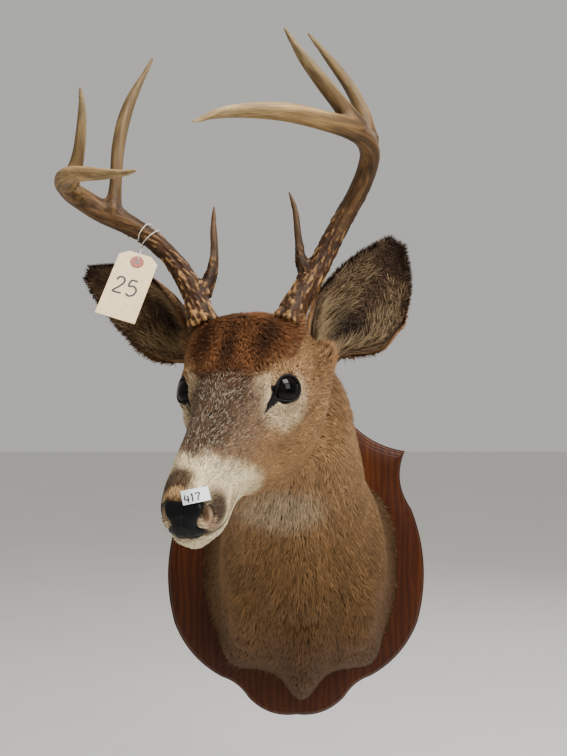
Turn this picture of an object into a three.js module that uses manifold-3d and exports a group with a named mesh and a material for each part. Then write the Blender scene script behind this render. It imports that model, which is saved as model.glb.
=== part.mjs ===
// A whitetail buck shoulder mount on its shaped wooden wall board, in millimetres.
// The origin is the middle of the board's back face, +Z is up and the buck looks out along -Y.
// The buck's left side is on +X. The flesh is modelled whole, out to the tips of its coat, and
// then parted by thin cuts into shoulders, neck, head, muzzle and lower jaw.

import * as THREE from 'three';
import { mergeVertices } from 'three/addons/utils/BufferGeometryUtils.js';
import Module from 'manifold-3d';

const wasm = await Module();
wasm.setup();

const GAP = 0.3; // clearance between touching pieces
const FAR = 2000; // larger than anything in the model

// ---------------------------------------------------------------- driving dimensions

const BOARD = {
  thickness: 20,
  edgeWidth: 13, // width of the routed edge
  rim: 0.42, // share of the thickness below the routed edge
  stepDepth: 3, // small square step between the face and the routed cove
  cove: { steps: 3, start: 0.15, reach: 0.7 }, // shares of the edge's width
  arcSteps: 4,
  // Right half of the outline from the top down: end point of each arc and its sag.
  // A positive sag bulges outwards.
  top: [0, 217],
  arcs: [
    { end: [62, 197], sag: 4 },
    { end: [150, 140], sag: -12 },
    { end: [158, 61], sag: -11 },
    { end: [166, -93], sag: 13 },
    { end: [101, -166], sag: 9 },
    { end: [66, -193], sag: -4 },
    { end: [0, -217], sag: 9 },
  ],
};

const HANGER = { width: 60, height: 22, thickness: 2, pocket: 3, slot: 9, z: 165 };

// The flesh from the wall to the back of the head. Each station is a cut through the neck:
// its nape and breast points in the plane of symmetry (y, z), the sideways place x of that
// plane, its half width, the squareness of its upper half, and how far the shoulder points and
// the keel of the brisket stand out.
const TRUNK = [
  { nape: [-20.3, 108], breast: [-20.3, -156], x: 5, half: 131, square: 3.2, lobe: 15, keel: 38 },
  { nape: [-40, 114], breast: [-60, -150], x: 5, half: 122, square: 2.8, lobe: 15, keel: 30 },
  { nape: [-70, 124], breast: [-108, -128], x: 5, half: 110, square: 2.4, lobe: 10, keel: 17 },
  { nape: [-112, 143], breast: [-168, -84], x: 3, half: 100, square: 2.2, lobe: 5, keel: 6 },
  { nape: [-162, 172], breast: [-214, -24], x: -3, half: 83, square: 2.2, lobe: 0, keel: 2 },
  { nape: [-210, 206], breast: [-247, 34], x: -13, half: 81, square: 2.2, lobe: 0, keel: 0 },
  { nape: [-256, 240], breast: [-283, 82], x: -26, half: 80, square: 2.2, lobe: 0, keel: 0 },
  { nape: [-298, 264], breast: [-306, 119], x: -39, half: 79, square: 2.2, lobe: 0, keel: 0 },
  { nape: [-332, 258], breast: [-322, 168], x: -53, half: 46, square: 2.2, lobe: 0, keel: 0 },
];
const TRUNK_SIDES = 32;
const TRUNK_RINGS = 13;
const TRUNK_LEVEL = 0.5; // height of the widest place as a share of the way up
const TRUNK_LOWER_SQUARE = 2.3;
const LOBE_ANGLE = -51; // degrees below level, and how far each lobe and the keel spread
const LOBE_SPREAD = 12;
const KEEL_SPREAD = 10;
const SHOULDER_CUT = 3; // station of the cut between shoulders and neck
const THROAT_CUT = { point: [0, -287, 180], normal: [-0.15, -1, 0.1] };

// The head's own frame: origin midway between the eyes, x to the nose, y to the buck's left.
const HEAD = { origin: [-71.5, -395.3, 207.4], yaw: 16, pitch: 32.2, roll: 0.5 };

// Cuts across the head: the top, the widest level and the bottom (heights), the half width, and
// the squareness of the upper and lower halves.
const SKULL = [
  { x: 188, top: -13, wide: -19, bottom: -26, half: 7, upper: 2, lower: 2 },
  { x: 184, top: -4, wide: -14, bottom: -35, half: 15, upper: 2.2, lower: 2 },
  { x: 176, top: 9, wide: -11, bottom: -43, half: 21, upper: 2.2, lower: 2 },
  { x: 160, top: 18, wide: -11, bottom: -49, half: 25, upper: 2.1, lower: 2 },
  { x: 135, top: 25, wide: -12, bottom: -54, half: 26.5, upper: 2.1, lower: 2 },
  { x: 105, top: 30, wide: -15, bottom: -59, half: 28.5, upper: 2.1, lower: 2 },
  { x: 75, top: 35, wide: -18, bottom: -70, half: 30.5, upper: 2.1, lower: 2.2 },
  { x: 45, top: 41, wide: -19, bottom: -89, half: 40, upper: 1.9, lower: 2.5 },
  { x: 15, top: 48, wide: -15, bottom: -104, half: 54, upper: 2.1, lower: 2.8 },
  { x: -15, top: 56, wide: -8, bottom: -112, half: 64, upper: 2.3, lower: 3 },
  { x: -45, top: 61, wide: -3, bottom: -116, half: 68, upper: 2.3, lower: 3 },
  { x: -75, top: 52, wide: 0, bottom: -107, half: 65, upper: 2.2, lower: 2.6 },
  { x: -100, top: 35, wide: 0, bottom: -80, half: 56, upper: 2, lower: 2.2 },
  { x: -120, top: 10, wide: 0, bottom: -32, half: 32, upper: 2, lower: 2 },
];
const SKULL_SIDES = 26;
const SKULL_RINGS = 19;
const SKULL_CROWDING = 1.35; // rings stand closest together at the nose
const MUZZLE_CUT = 98; // x of the cut between head and muzzle
const MOUTH = { front: [186, -26], corner: [98, -22] }; // x and height of the closed lips

const EYE = { centre: [2, 44, 4], radius: 17, socket: { centre: [15, 60, 6], size: [24, 15, 15] } };
const NOSE = { centre: [172, 0, -8], size: [19.5, 21.5, 15.5] };

const PEDICLE = { base: [-54, 34, 22], burr: [-66, 43, 42], radius: 15, foot: 8 };

// Ears: root and tip in the row's frame, the way the cup opens, half width along the surface
// and half angle of the cup from root to tip. The left ear's lower edge is notched above its
// root: the share left out there, and how far up the notch reaches.
const EAR_HALF_WIDTHS = [34, 46, 52, 50, 45, 36, 23, 5];
const EAR_CUP_ANGLES = [120, 98, 74, 60, 51, 45, 40, 35];
const EAR_THICKNESS = [9, 7, 5, 4, 3.5, 3, 2.5, 2];
const EAR_NOTCH = [0.1, 0.34];
const EAR_ROWS = 10;
const EAR_COLUMNS = 8;
const EARS = {
  left: {
    root: [10, -340, 238], tip: [88, -352, 363], bow: [8, 12, -2], open: [-0.2, -1, -0.05],
    notch: 0.8,
  },
  right: {
    root: [-110, -293, 264], tip: [-235, -294, 340], bow: [2, 8, 9], open: [-0.65, -0.7, -0.35],
    notch: 0,
  },
};

// Antlers: points along each beam and tine with the radius there, from the skull outwards.
const ANTLERS = {
  left: {
    beam: [
      [-25, -379, 275, 18], [-17, -369, 294, 14], [-9, -360, 310, 13], [4, -350, 331, 12],
      [22, -343, 366, 11], [41, -344, 401, 10.8], [55, -356, 429, 10.8], [58, -378, 448, 10.5],
      [49, -402, 456, 10.7], [30, -427, 458, 10.4], [5, -448, 458, 9.5], [-27, -471, 457, 8.8],
      [-60, -490, 452, 7.2], [-88, -502, 445, 4.8], [-109, -510, 435, 1],
    ],
    tines: [
      [
        [-1, -352, 324, 8.2], [-9, -348, 343, 6.4], [-12, -342, 370, 4.6],
        [-15, -335, 400, 3.3], [-21, -331, 420, 1],
      ],
      [
        [56, -388, 458, 9], [51, -379, 487, 7.9], [39, -366, 519, 6.8],
        [18, -348, 557, 4.7], [-1, -332, 588, 1.2],
      ],
      [
        [42, -414, 461, 10.5], [23, -427, 481, 8.5], [5, -438, 499, 7.6],
        [-13, -448, 518, 5.4], [-30, -456, 541, 1],
      ],
    ],
    cuts: [4.1, 9.6],
  },
  right: {
    beam: [
      [-107, -356, 275, 18], [-113, -346, 295, 13.6], [-119, -338, 312, 12.4], [-129, -328, 331, 11.6],
      [-145, -318, 353, 10.2], [-168, -309, 375, 10.2], [-196, -303, 393, 11.6], [-223, -305, 406, 12.4],
      [-243, -319, 417, 11.8], [-250, -344, 422, 10.8], [-242, -380, 421, 9.5], [-220, -415, 415, 7.8],
      [-194, -448, 406, 5.7], [-174, -470, 401, 3.7], [-159, -488, 399, 1],
    ],
    tines: [
      [
        [-109, -338, 312, 8.7], [-102, -333, 332, 7], [-99, -328, 356, 5],
        [-100, -321, 383, 3.9], [-100, -314, 408, 1],
      ],
      [
        [-208, -304, 404, 11], [-206, -301, 430, 7.2], [-204, -295, 478, 7.6],
        [-195, -287, 523, 6.8], [-170, -274, 583, 1.2],
      ],
      [
        [-243, -356, 420, 9.6], [-234, -365, 444, 7], [-230, -371, 467, 5.8],
        [-228, -376, 490, 4.4], [-229, -381, 511, 1],
      ],
    ],
    cuts: [4.1, 9.4],
  },
};
// A manila tag tied to the right beam by a thin cotton string, and a paper label on the muzzle.
const TAG = {
  hole: [-178, -334, 344.5], down: [-0.248, -0.44, -0.863], across: [0.957, 0.02, -0.29],
  length: 82, width: 41, thickness: 0.6, above: 11, clip: [9, 7], holeRadius: 3,
  patch: { outer: 7, inner: 2.6, thickness: 0.5 },
};
const STRING = { diameter: 1.1, at: 5.05, standOff: 1.9, steps: 48, sides: 8, knot: 1.8 };
// Its way round the beam: angle from the front, over the top; place along the beam; extra lift.
const STRING_TURNS = [
  [-62, -2, 0.4], [-30, -4, 0], [0, -5.5, 0], [40, -6.5, 0], [80, -6, 0], [125, -4, 0], [170, 2, 0],
  [215, 9, 0], [245, 16, 0.3], [268, 19, 0.6], [288, 15, 0.8], [294, 8, 0.6], [305, 4, 0.2],
  [335, 5, 0], [0, 5.5, 0], [40, 6.5, 0], [80, 6, 0], [125, 4, 0], [170, 3, 0], [215, 2, 0],
  [245, 1.5, 0.6],
];
const LABEL = {
  centre: [175, 9, 9], size: [13, 25, 30], slope: 32, turn: 8, lift: 0.35, thickness: 0.6,
};

const BEAM_SIDES = 10;
const BEAM_LENGTH = 430; // along its curve, near enough to size the gaps
const BEAM_STEPS = 28;
const TINE_SIDES = 8;
const TINE_STEPS = 8;

// ---------------------------------------------------------------- materials

const FINISH = {
  board: { color: 0x4a2519, roughness: 0.35, metalness: 0 },
  steel: { color: 0x8c8a86, roughness: 0.4, metalness: 0.9 },
  coat: { color: 0x8f6b47, roughness: 0.9, metalness: 0 },
  face: { color: 0x7d6a58, roughness: 0.9, metalness: 0 },
  nose: { color: 0x17171a, roughness: 0.35, metalness: 0 },
  eye: { color: 0x120c0a, roughness: 0.05, metalness: 0 },
  ear: { color: 0x9b8672, roughness: 0.9, metalness: 0 },
  antler: { color: 0x8a6a48, roughness: 0.55, metalness: 0 },
  paper: { color: 0xe2cfa6, roughness: 0.8, metalness: 0 },
  label: { color: 0xf2f2f0, roughness: 0.6, metalness: 0 },
  fibre: { color: 0xb5625c, roughness: 0.6, metalness: 0 },
  cotton: { color: 0xe9e3d6, roughness: 0.95, metalness: 0 },
};

// ---------------------------------------------------------------- small tools

const group = new THREE.Group();

function place(name, geometry, finish) {
  const mesh = new THREE.Mesh(geometry, new THREE.MeshStandardMaterial(FINISH[finish]));
  mesh.name = name;
  group.add(mesh);
}

const vector = (values) => new THREE.Vector3(...values.slice(0, 3));
const radians = THREE.MathUtils.degToRad;

// A smooth curve through evenly spaced values, read at t from 0 to 1.
function smooth(values, t) {
  const last = values.length - 1;
  const along = Math.min(Math.max(t * last, 0), last);
  const i = Math.min(Math.floor(along), last - 1);
  const s = along - i;
  const a = values[i];
  const b = values[i + 1];
  const slopeA = i > 0 ? (b - values[i - 1]) / 2 : b - a;
  const slopeB = i < last - 1 ? (values[i + 2] - a) / 2 : b - a;
  const s2 = s * s;
  const s3 = s2 * s;
  const leaving = (2 * s3 - 3 * s2 + 1) * a + (s3 - 2 * s2 + s) * slopeA;
  return leaving + (3 * s2 - 2 * s3) * b + (s3 - s2) * slopeB;
}

// One closed body through rings of points, each ring with the same number, with flat ends.
function loft(rings) {
  const count = rings[0].length;
  const points = rings.flat();
  const index = [];
  for (let r = 0; r + 1 < rings.length; r += 1) {
    for (let i = 0; i < count; i += 1) {
      const a = r * count + i;
      const b = r * count + (i + 1) % count;
      index.push(a, b, b + count, a, b + count, a + count);
    }
  }
  for (const [ring, turned] of [[rings[0], true], [rings[rings.length - 1], false]]) {
    const start = points.indexOf(ring[0]);
    const centre = points.length;
    const middle = new THREE.Vector3();
    ring.forEach((p) => middle.addScaledVector(p, 1 / count));
    points.push(middle);
    for (let i = 0; i < count; i += 1) {
      const a = start + i;
      const b = start + (i + 1) % count;
      index.push(...(turned ? [b, a, centre] : [a, b, centre]));
    }
  }
  return solid(points, index);
}

// A manifold solid from points and triangles, turned right side out.
function solid(points, index) {
  let volume = 0;
  for (let i = 0; i < index.length; i += 3) {
    const [a, b, c] = [points[index[i]], points[index[i + 1]], points[index[i + 2]]];
    volume += a.dot(new THREE.Vector3().crossVectors(b, c));
  }
  const triangles = Uint32Array.from(index);
  if (volume < 0) {
    for (let i = 0; i < triangles.length; i += 3) {
      [triangles[i], triangles[i + 1]] = [triangles[i + 1], triangles[i]];
    }
  }
  const positions = Float32Array.from(points.flatMap((p) => p.toArray()));
  return new wasm.Manifold(new wasm.Mesh({ numProp: 3, vertProperties: positions, triVerts: triangles }));
}

// A manifold solid from one of three's closed geometries.
function solidOf(source, matrix = new THREE.Matrix4()) {
  const bare = source.clone();
  bare.deleteAttribute('normal');
  bare.deleteAttribute('uv');
  const merged = mergeVertices(bare.applyMatrix4(matrix), 1e-4);
  const at = merged.attributes.position;
  const points = Array.from({ length: at.count }, (_, i) => new THREE.Vector3().fromBufferAttribute(at, i));
  return solid(points, Array.from(merged.index.array));
}

function geometryOf(body) {
  const mesh = body.getMesh();
  const geometry = new THREE.BufferGeometry();
  geometry.setAttribute('position', new THREE.BufferAttribute(Float32Array.from(mesh.vertProperties), 3));
  geometry.setIndex(Array.from(mesh.triVerts));
  return geometry;
}

// All of space on one side of a plane.
function halfSpace(point, normal) {
  const turn = new THREE.Quaternion().setFromUnitVectors(new THREE.Vector3(0, 0, 1), normal);
  const middle = point.clone().addScaledVector(normal, FAR / 2);
  const matrix = new THREE.Matrix4().makeRotationFromQuaternion(turn).setPosition(middle);
  return solidOf(new THREE.BoxGeometry(FAR, FAR, FAR), matrix);
}

// Parts a body at a plane and leaves a thin gap: [the side behind, the side ahead].
function parted(body, point, normal) {
  const ahead = point.clone().addScaledVector(normal, GAP / 2);
  const behind = point.clone().addScaledVector(normal, -GAP / 2);
  const back = halfSpace(behind, normal.clone().negate());
  return [body.intersect(back), body.intersect(halfSpace(ahead, normal))];
}

// ---------------------------------------------------------------- frames

// The head's frame: columns are forward, left and up.
function headMatrix() {
  const [yaw, pitch, roll] = [HEAD.yaw, HEAD.pitch, HEAD.roll].map(radians);
  const ahead = Math.cos(pitch);
  const forward = new THREE.Vector3(-Math.sin(yaw) * ahead, -Math.cos(yaw) * ahead, -Math.sin(pitch));
  const level = new THREE.Vector3(Math.cos(yaw), -Math.sin(yaw), 0);
  const left = level.applyAxisAngle(forward, roll);
  const up = new THREE.Vector3().crossVectors(forward, left);
  return new THREE.Matrix4().makeBasis(forward, left, up).setPosition(...HEAD.origin);
}

const TO_ROW = headMatrix();
const inRow = (x, y, z) => new THREE.Vector3(x, y, z).applyMatrix4(TO_ROW);
const headAxis = (column) => new THREE.Vector3().setFromMatrixColumn(TO_ROW, column);

// ---------------------------------------------------------------- the wall board

function boardOutline() {
  const half = [new THREE.Vector2(...BOARD.top)];
  for (const { end, sag } of BOARD.arcs) {
    const from = half[half.length - 1];
    const to = new THREE.Vector2(...end);
    const chord = to.clone().sub(from);
    const outward = new THREE.Vector2(-chord.y, chord.x).normalize();
    for (let i = 1; i <= BOARD.arcSteps; i += 1) {
      const t = i / BOARD.arcSteps;
      half.push(from.clone().addScaledVector(chord, t).addScaledVector(outward, sag * 4 * t * (1 - t)));
    }
  }
  const other = half.slice(1, -1).reverse().map((p) => new THREE.Vector2(-p.x, p.y));
  return [...half, ...other];
}

// The board: its outline drawn in by the routed edge, which is a cove below a small step.
function board() {
  const outline = boardOutline();
  const [width, height] = [0, 1].map((axis) => Math.max(...outline.map((p) => p.getComponent(axis))));
  const { steps, start, reach } = BOARD.cove;
  const rim = BOARD.thickness * BOARD.rim;
  const levels = [[0, 0], [rim, 0]];
  for (let i = 0; i <= steps; i += 1) {
    const angle = (i / steps) * Math.PI / 2;
    const rise = (BOARD.thickness - rim - BOARD.stepDepth) * Math.sin(angle);
    levels.push([rim + rise, BOARD.edgeWidth * (start + reach * (1 - Math.cos(angle)))]);
  }
  levels.push([BOARD.thickness, BOARD.edgeWidth]);
  const rings = levels.map(([depth, inset]) => outline.map((p) => new THREE.Vector3(
    p.x * (1 - inset / width),
    -depth,
    p.y * (1 - inset / height),
  )));
  const pocket = new THREE.BoxGeometry(HANGER.width, HANGER.pocket * 2, HANGER.height);
  return loft(rings).subtract(solidOf(pocket.translate(0, 0, HANGER.z)));
}

// A flat steel keyhole plate let into the back of the board.
function hangerPlate() {
  const shape = new THREE.Shape();
  const [w, h] = [HANGER.width / 2 - GAP, HANGER.height / 2 - GAP];
  shape.moveTo(-w, -h).lineTo(w, -h).lineTo(w, h).lineTo(-w, h).closePath();
  const hole = new THREE.Path();
  hole.absarc(0, 0, HANGER.slot / 2, 0, Math.PI * 2, false);
  shape.holes.push(hole);
  const settings = { depth: HANGER.thickness, bevelEnabled: false, curveSegments: 8 };
  const plate = new THREE.ExtrudeGeometry(shape, settings);
  plate.rotateX(Math.PI / 2);
  plate.translate(0, -HANGER.pocket + GAP + HANGER.thickness, HANGER.z);
  return solidOf(plate);
}

// ---------------------------------------------------------------- shoulders and neck

function trunkStation(t) {
  const read = (get) => smooth(TRUNK.map(get), t);
  return {
    nape: new THREE.Vector2(read((s) => s.nape[0]), read((s) => s.nape[1])),
    breast: new THREE.Vector2(read((s) => s.breast[0]), read((s) => s.breast[1])),
    x: read((s) => s.x),
    half: read((s) => s.half),
    square: read((s) => s.square),
    lobe: Math.max(read((s) => s.lobe), 0),
    keel: Math.max(read((s) => s.keel), 0),
  };
}

// One cut through the neck: a rounded oval with the shoulder points and the keel pushed out.
function trunkRing(t) {
  const s = trunkStation(t);
  const length = s.nape.distanceTo(s.breast);
  const up = s.nape.clone().sub(s.breast).normalize();
  const middle = s.breast.clone().addScaledVector(up, length * TRUNK_LEVEL);
  return Array.from({ length: TRUNK_SIDES }, (_, i) => {
    const angle = (i / TRUNK_SIDES) * Math.PI * 2 + Math.PI / 2;
    const [c, n] = [Math.cos(angle), Math.sin(angle)];
    const along = length * (n > 0 ? 1 - TRUNK_LEVEL : TRUNK_LEVEL);
    const e = n > 0 ? s.square : TRUNK_LOWER_SQUARE;
    const radius = (Math.abs(c / s.half) ** e + Math.abs(n / along) ** e) ** (-1 / e);
    const below = THREE.MathUtils.radToDeg(Math.atan2(n, Math.abs(c)));
    const lobe = s.lobe * Math.exp(-(((below - LOBE_ANGLE) / LOBE_SPREAD) ** 2));
    const keel = s.keel * Math.exp(-(((below + 90) / KEEL_SPREAD) ** 2));
    const reach = radius + lobe + keel;
    const at = middle.clone().addScaledVector(up, reach * n);
    return new THREE.Vector3(s.x + reach * c, at.x, at.y);
  });
}

function trunk() {
  return loft(Array.from({ length: TRUNK_RINGS }, (_, i) => trunkRing(i / (TRUNK_RINGS - 1))));
}

// ---------------------------------------------------------------- head

function skullStation(x) {
  const first = SKULL.findIndex((s) => s.x <= x);
  const i = Math.max(first, 1);
  const t = (i - 1 + (SKULL[i - 1].x - x) / (SKULL[i - 1].x - SKULL[i].x)) / (SKULL.length - 1);
  const read = (key) => smooth(SKULL.map((s) => s[key]), t);
  const keys = ['top', 'wide', 'bottom', 'half', 'upper', 'lower'];
  return Object.fromEntries(keys.map((key) => [key, read(key)]));
}

function skullRing(x, grow) {
  const s = skullStation(x);
  return Array.from({ length: SKULL_SIDES }, (_, i) => {
    const angle = (i / SKULL_SIDES) * Math.PI * 2;
    const [c, n] = [Math.cos(angle), Math.sin(angle)];
    const power = 2 / (n > 0 ? s.upper : s.lower);
    const rise = n > 0 ? s.top - s.wide : s.wide - s.bottom;
    const y = Math.sign(c) * Math.abs(c) ** power * (s.half + grow);
    const z = s.wide + Math.sign(n) * Math.abs(n) ** power * (rise + grow);
    return inRow(x, y, z);
  });
}

function skull(grow = 0) {
  const first = SKULL[0].x;
  const last = SKULL[SKULL.length - 1].x;
  return loft(Array.from({ length: SKULL_RINGS }, (_, i) => {
    const t = (i / (SKULL_RINGS - 1)) ** SKULL_CROWDING;
    return skullRing(THREE.MathUtils.lerp(first, last, t), grow);
  }));
}

// A ball in the head's frame, with its own size along each of the head's axes.
function ball(centre, size, grow, across = 10, down = 7) {
  const [x, y, z] = centre;
  const matrix = new THREE.Matrix4().makeTranslation(x, y, z)
    .scale(new THREE.Vector3(...size.map((s) => s + grow)));
  return solidOf(new THREE.SphereGeometry(1, across, down), matrix.premultiply(TO_ROW));
}

const eyeball = (side, grow = 0) => {
  const [x, y, z] = EYE.centre;
  return ball([x, y * side, z], [EYE.radius, EYE.radius, EYE.radius], grow);
};
const nosePad = (grow = 0) => ball(NOSE.centre, NOSE.size, grow, 14, 8);

// ---------------------------------------------------------------- antlers

// A tapering round bar through points that carry their radius; `from` and `to` are shares of
// the way along, so one piece of a beam can be made alone.
function taperedBar(stations, sides, steps, grow = 0, from = 0, to = 1) {
  const curve = new THREE.CatmullRomCurve3(stations.map(vector), false, 'centripetal');
  const radii = stations.map((s) => s[3]);
  let side = null;
  return loft(Array.from({ length: steps + 1 }, (_, i) => {
    const t = THREE.MathUtils.lerp(from, to, i / steps);
    const at = curve.getPoint(t);
    const tangent = curve.getTangent(t);
    side = side ?? new THREE.Vector3(0, -1, 0);
    side = side.clone().addScaledVector(tangent, -side.dot(tangent)).normalize();
    const other = new THREE.Vector3().crossVectors(tangent, side);
    const radius = smooth(radii, t) + grow;
    return Array.from({ length: sides }, (_unused, k) => {
      const angle = (k / sides) * Math.PI * 2;
      return at.clone()
        .addScaledVector(side, radius * Math.cos(angle))
        .addScaledVector(other, radius * Math.sin(angle));
    });
  }));
}

// The beam is cut into lengths at its main forks, and each tine stops short of the beam. Gives
// back the beam, grown by twice the gap and past each cut, for what has to stay clear of it.
function placeAntler(name, { beam, tines, cuts }) {
  const ends = [0, ...cuts.map((c) => c / (beam.length - 1)), 1];
  const margin = GAP / BEAM_LENGTH;
  const cleared = ['beam_lower', 'beam_middle', 'beam_end'].map((part, i) => {
    const [from, to] = [ends[i], ends[i + 1]];
    const steps = Math.ceil(BEAM_STEPS * (to - from));
    const [trimFrom, trimTo] = [from + (i > 0 ? margin : 0), to - (i < 2 ? margin : 0)];
    const length = taperedBar(beam, BEAM_SIDES, steps, 0, trimFrom, trimTo);
    place(`antler_${name}_${part}`, geometryOf(length), 'antler');
    const [growFrom, growTo] = [Math.max(from - 3 * margin, 0), Math.min(to + 3 * margin, 1)];
    return taperedBar(beam, BEAM_SIDES, steps, GAP * 2, growFrom, growTo);
  }).reduce((all, one) => all.add(one));
  ['brow_tine', 'tine_2', 'tine_3'].forEach((part, i) => {
    const tine = taperedBar(tines[i], TINE_SIDES, TINE_STEPS).subtract(cleared);
    place(`antler_${name}_${part}`, geometryOf(tine), 'antler');
  });
  return cleared;
}

// ---------------------------------------------------------------- ears

// A cupped leaf with real thickness: rows run from root to tip, columns from edge to edge.
function ear({ root, tip, bow, open, notch }, grow = 0) {
  const [rows, columns] = [EAR_ROWS, EAR_COLUMNS];
  const [start, end, bend] = [root, tip, bow].map(vector);
  const along = end.clone().sub(start);
  const facing = vector(open);
  facing.addScaledVector(along, -facing.dot(along) / along.lengthSq()).normalize();
  const side = new THREE.Vector3().crossVectors(along, facing).normalize();
  const points = [];
  for (const skin of [0, 1]) {
    for (let r = 0; r <= rows; r += 1) {
      const u = r / rows;
      const half = smooth(EAR_HALF_WIDTHS, u) + grow;
      const angle = radians(smooth(EAR_CUP_ANGLES, u));
      const thick = smooth(EAR_THICKNESS, u) + grow * 2;
      const lower = 1 - notch * (1 - THREE.MathUtils.smoothstep(u, ...EAR_NOTCH));
      const radius = half / angle + (skin ? thick - grow : -grow);
      const spine = start.clone().addScaledVector(along, u).addScaledVector(bend, Math.sin(Math.PI * u));
      spine.addScaledVector(facing, half / angle);
      for (let c = 0; c <= columns; c += 1) {
        const across = 2 * c / columns - 1;
        const swing = angle * across * (across > 0 ? lower : 1);
        points.push(spine.clone()
          .addScaledVector(side, radius * Math.sin(swing))
          .addScaledVector(facing, -radius * Math.cos(swing)));
      }
    }
  }
  const inner = (r, c) => r * (columns + 1) + c;
  const outer = (r, c) => inner(r, c) + (rows + 1) * (columns + 1);
  const index = [];
  const quad = (a, b, c, d) => index.push(a, b, c, a, c, d);
  for (let r = 0; r < rows; r += 1) {
    for (let c = 0; c < columns; c += 1) {
      quad(inner(r, c), inner(r + 1, c), inner(r + 1, c + 1), inner(r, c + 1));
      quad(outer(r, c), outer(r, c + 1), outer(r + 1, c + 1), outer(r + 1, c));
    }
    quad(inner(r, 0), outer(r, 0), outer(r + 1, 0), inner(r + 1, 0));
    quad(inner(r, columns), inner(r + 1, columns), outer(r + 1, columns), outer(r, columns));
  }
  for (let c = 0; c < columns; c += 1) {
    quad(inner(0, c), inner(0, c + 1), outer(0, c + 1), outer(0, c));
    quad(inner(rows, c), outer(rows, c), outer(rows, c + 1), inner(rows, c + 1));
  }
  return solid(points, index);
}

// ---------------------------------------------------------------- tag, string and label

// The tag's frame: x across, y towards its top, z out of its front.
function tagMatrix() {
  const up = vector(TAG.down).negate().normalize();
  const across = vector(TAG.across);
  across.addScaledVector(up, -across.dot(up)).normalize();
  const front = new THREE.Vector3().crossVectors(across, up);
  return new THREE.Matrix4().makeBasis(across, up, front).setPosition(...TAG.hole);
}

function tag() {
  const [w, top] = [TAG.width / 2, TAG.above];
  const bottom = top - TAG.length;
  const [clipX, clipY] = TAG.clip;
  const shape = new THREE.Shape();
  shape.moveTo(-w, bottom).lineTo(w, bottom).lineTo(w, top - clipY).lineTo(w - clipX, top);
  shape.lineTo(-w + clipX, top).lineTo(-w, top - clipY).closePath();
  const hole = new THREE.Path();
  hole.absarc(0, 0, TAG.holeRadius, 0, Math.PI * 2, true);
  shape.holes.push(hole);
  const settings = { depth: TAG.thickness, bevelEnabled: false, curveSegments: 6 };
  return new THREE.ExtrudeGeometry(shape, settings);
}

// The fibre patch round the tag's hole, on its front.
function tagPatch() {
  const { outer, inner, thickness } = TAG.patch;
  const shape = new THREE.Shape();
  shape.absarc(0, 0, outer, 0, Math.PI * 2, false);
  const hole = new THREE.Path();
  hole.absarc(0, 0, inner, 0, Math.PI * 2, true);
  shape.holes.push(hole);
  const settings = { depth: thickness, bevelEnabled: false, curveSegments: 8 };
  return new THREE.ExtrudeGeometry(shape, settings).translate(0, 0, TAG.thickness + GAP);
}

// A frame at a place on the right beam: along the beam, towards the viewer, and up.
function beamFrame(station) {
  const stations = ANTLERS.right.beam;
  const curve = new THREE.CatmullRomCurve3(stations.map(vector), false, 'centripetal');
  const t = station / (stations.length - 1);
  const along = curve.getTangent(t);
  const front = new THREE.Vector3(0, -1, 0);
  front.addScaledVector(along, -front.dot(along)).normalize();
  const up = new THREE.Vector3().crossVectors(along, front).normalize();
  return { at: curve.getPoint(t), along, front, up, radius: smooth(stations.map((s) => s[3]), t) };
}

function stringPoint(frame, [angle, shift, lift]) {
  const reach = frame.radius + STRING.standOff + lift;
  return frame.at.clone()
    .addScaledVector(frame.along, shift)
    .addScaledVector(frame.front, reach * Math.cos(radians(angle)))
    .addScaledVector(frame.up, reach * Math.sin(radians(angle)));
}

// The string: twice round the beam from its knot, then down through the tag's hole.
function stringRoute() {
  const frame = beamFrame(STRING.at);
  const turns = STRING_TURNS.map((turn) => stringPoint(frame, turn));
  const onTag = (x, y, z) => new THREE.Vector3(x, y, z).applyMatrix4(tagMatrix());
  const leave = turns[turns.length - 1];
  const [over, through] = [onTag(0, 9, 3.2), onTag(0, 0.6, 0.4)];
  const middle = leave.clone().lerp(over, 0.5);
  return [...turns, middle, over, onTag(0, 2.2, 2.6), through, onTag(0, -0.4, -2)];
}

function stringTube() {
  const radius = STRING.diameter / 2;
  const section = new THREE.Shape(Array.from({ length: STRING.sides }, (_, i) => {
    const angle = (i / STRING.sides) * Math.PI * 2;
    return new THREE.Vector2(radius * Math.cos(angle), radius * Math.sin(angle));
  }));
  const path = new THREE.CatmullRomCurve3(stringRoute(), false, 'centripetal');
  return new THREE.ExtrudeGeometry(section, { steps: STRING.steps, bevelEnabled: false, extrudePath: path });
}

function stringKnot() {
  const [first, second] = stringRoute();
  const back = first.clone().sub(second).normalize();
  const centre = first.clone().addScaledVector(back, STRING.knot + GAP * 2);
  return new THREE.SphereGeometry(STRING.knot, 10, 7).translate(...centre.toArray());
}

// The label follows the muzzle's curve: a thin shell of it, cut out by a small block.
function label() {
  const [x, y, z] = LABEL.centre;
  const turn = new THREE.Euler(0, radians(LABEL.slope), radians(LABEL.turn), 'YZX');
  const matrix = new THREE.Matrix4().makeRotationFromEuler(turn).setPosition(x, y, z).premultiply(TO_ROW);
  const block = solidOf(new THREE.BoxGeometry(...LABEL.size), matrix);
  const inner = skull(LABEL.lift).add(nosePad(LABEL.lift));
  const outer = skull(LABEL.lift + LABEL.thickness).add(nosePad(LABEL.lift + LABEL.thickness));
  return block.intersect(outer).subtract(inner);
}

// ---------------------------------------------------------------- assembly

place('wall_board', geometryOf(board()), 'board');
place('hanger_plate', geometryOf(hangerPlate()), 'steel');

const beams = Object.entries(ANTLERS).map(([name, antler]) => placeAntler(name, antler));

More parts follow.
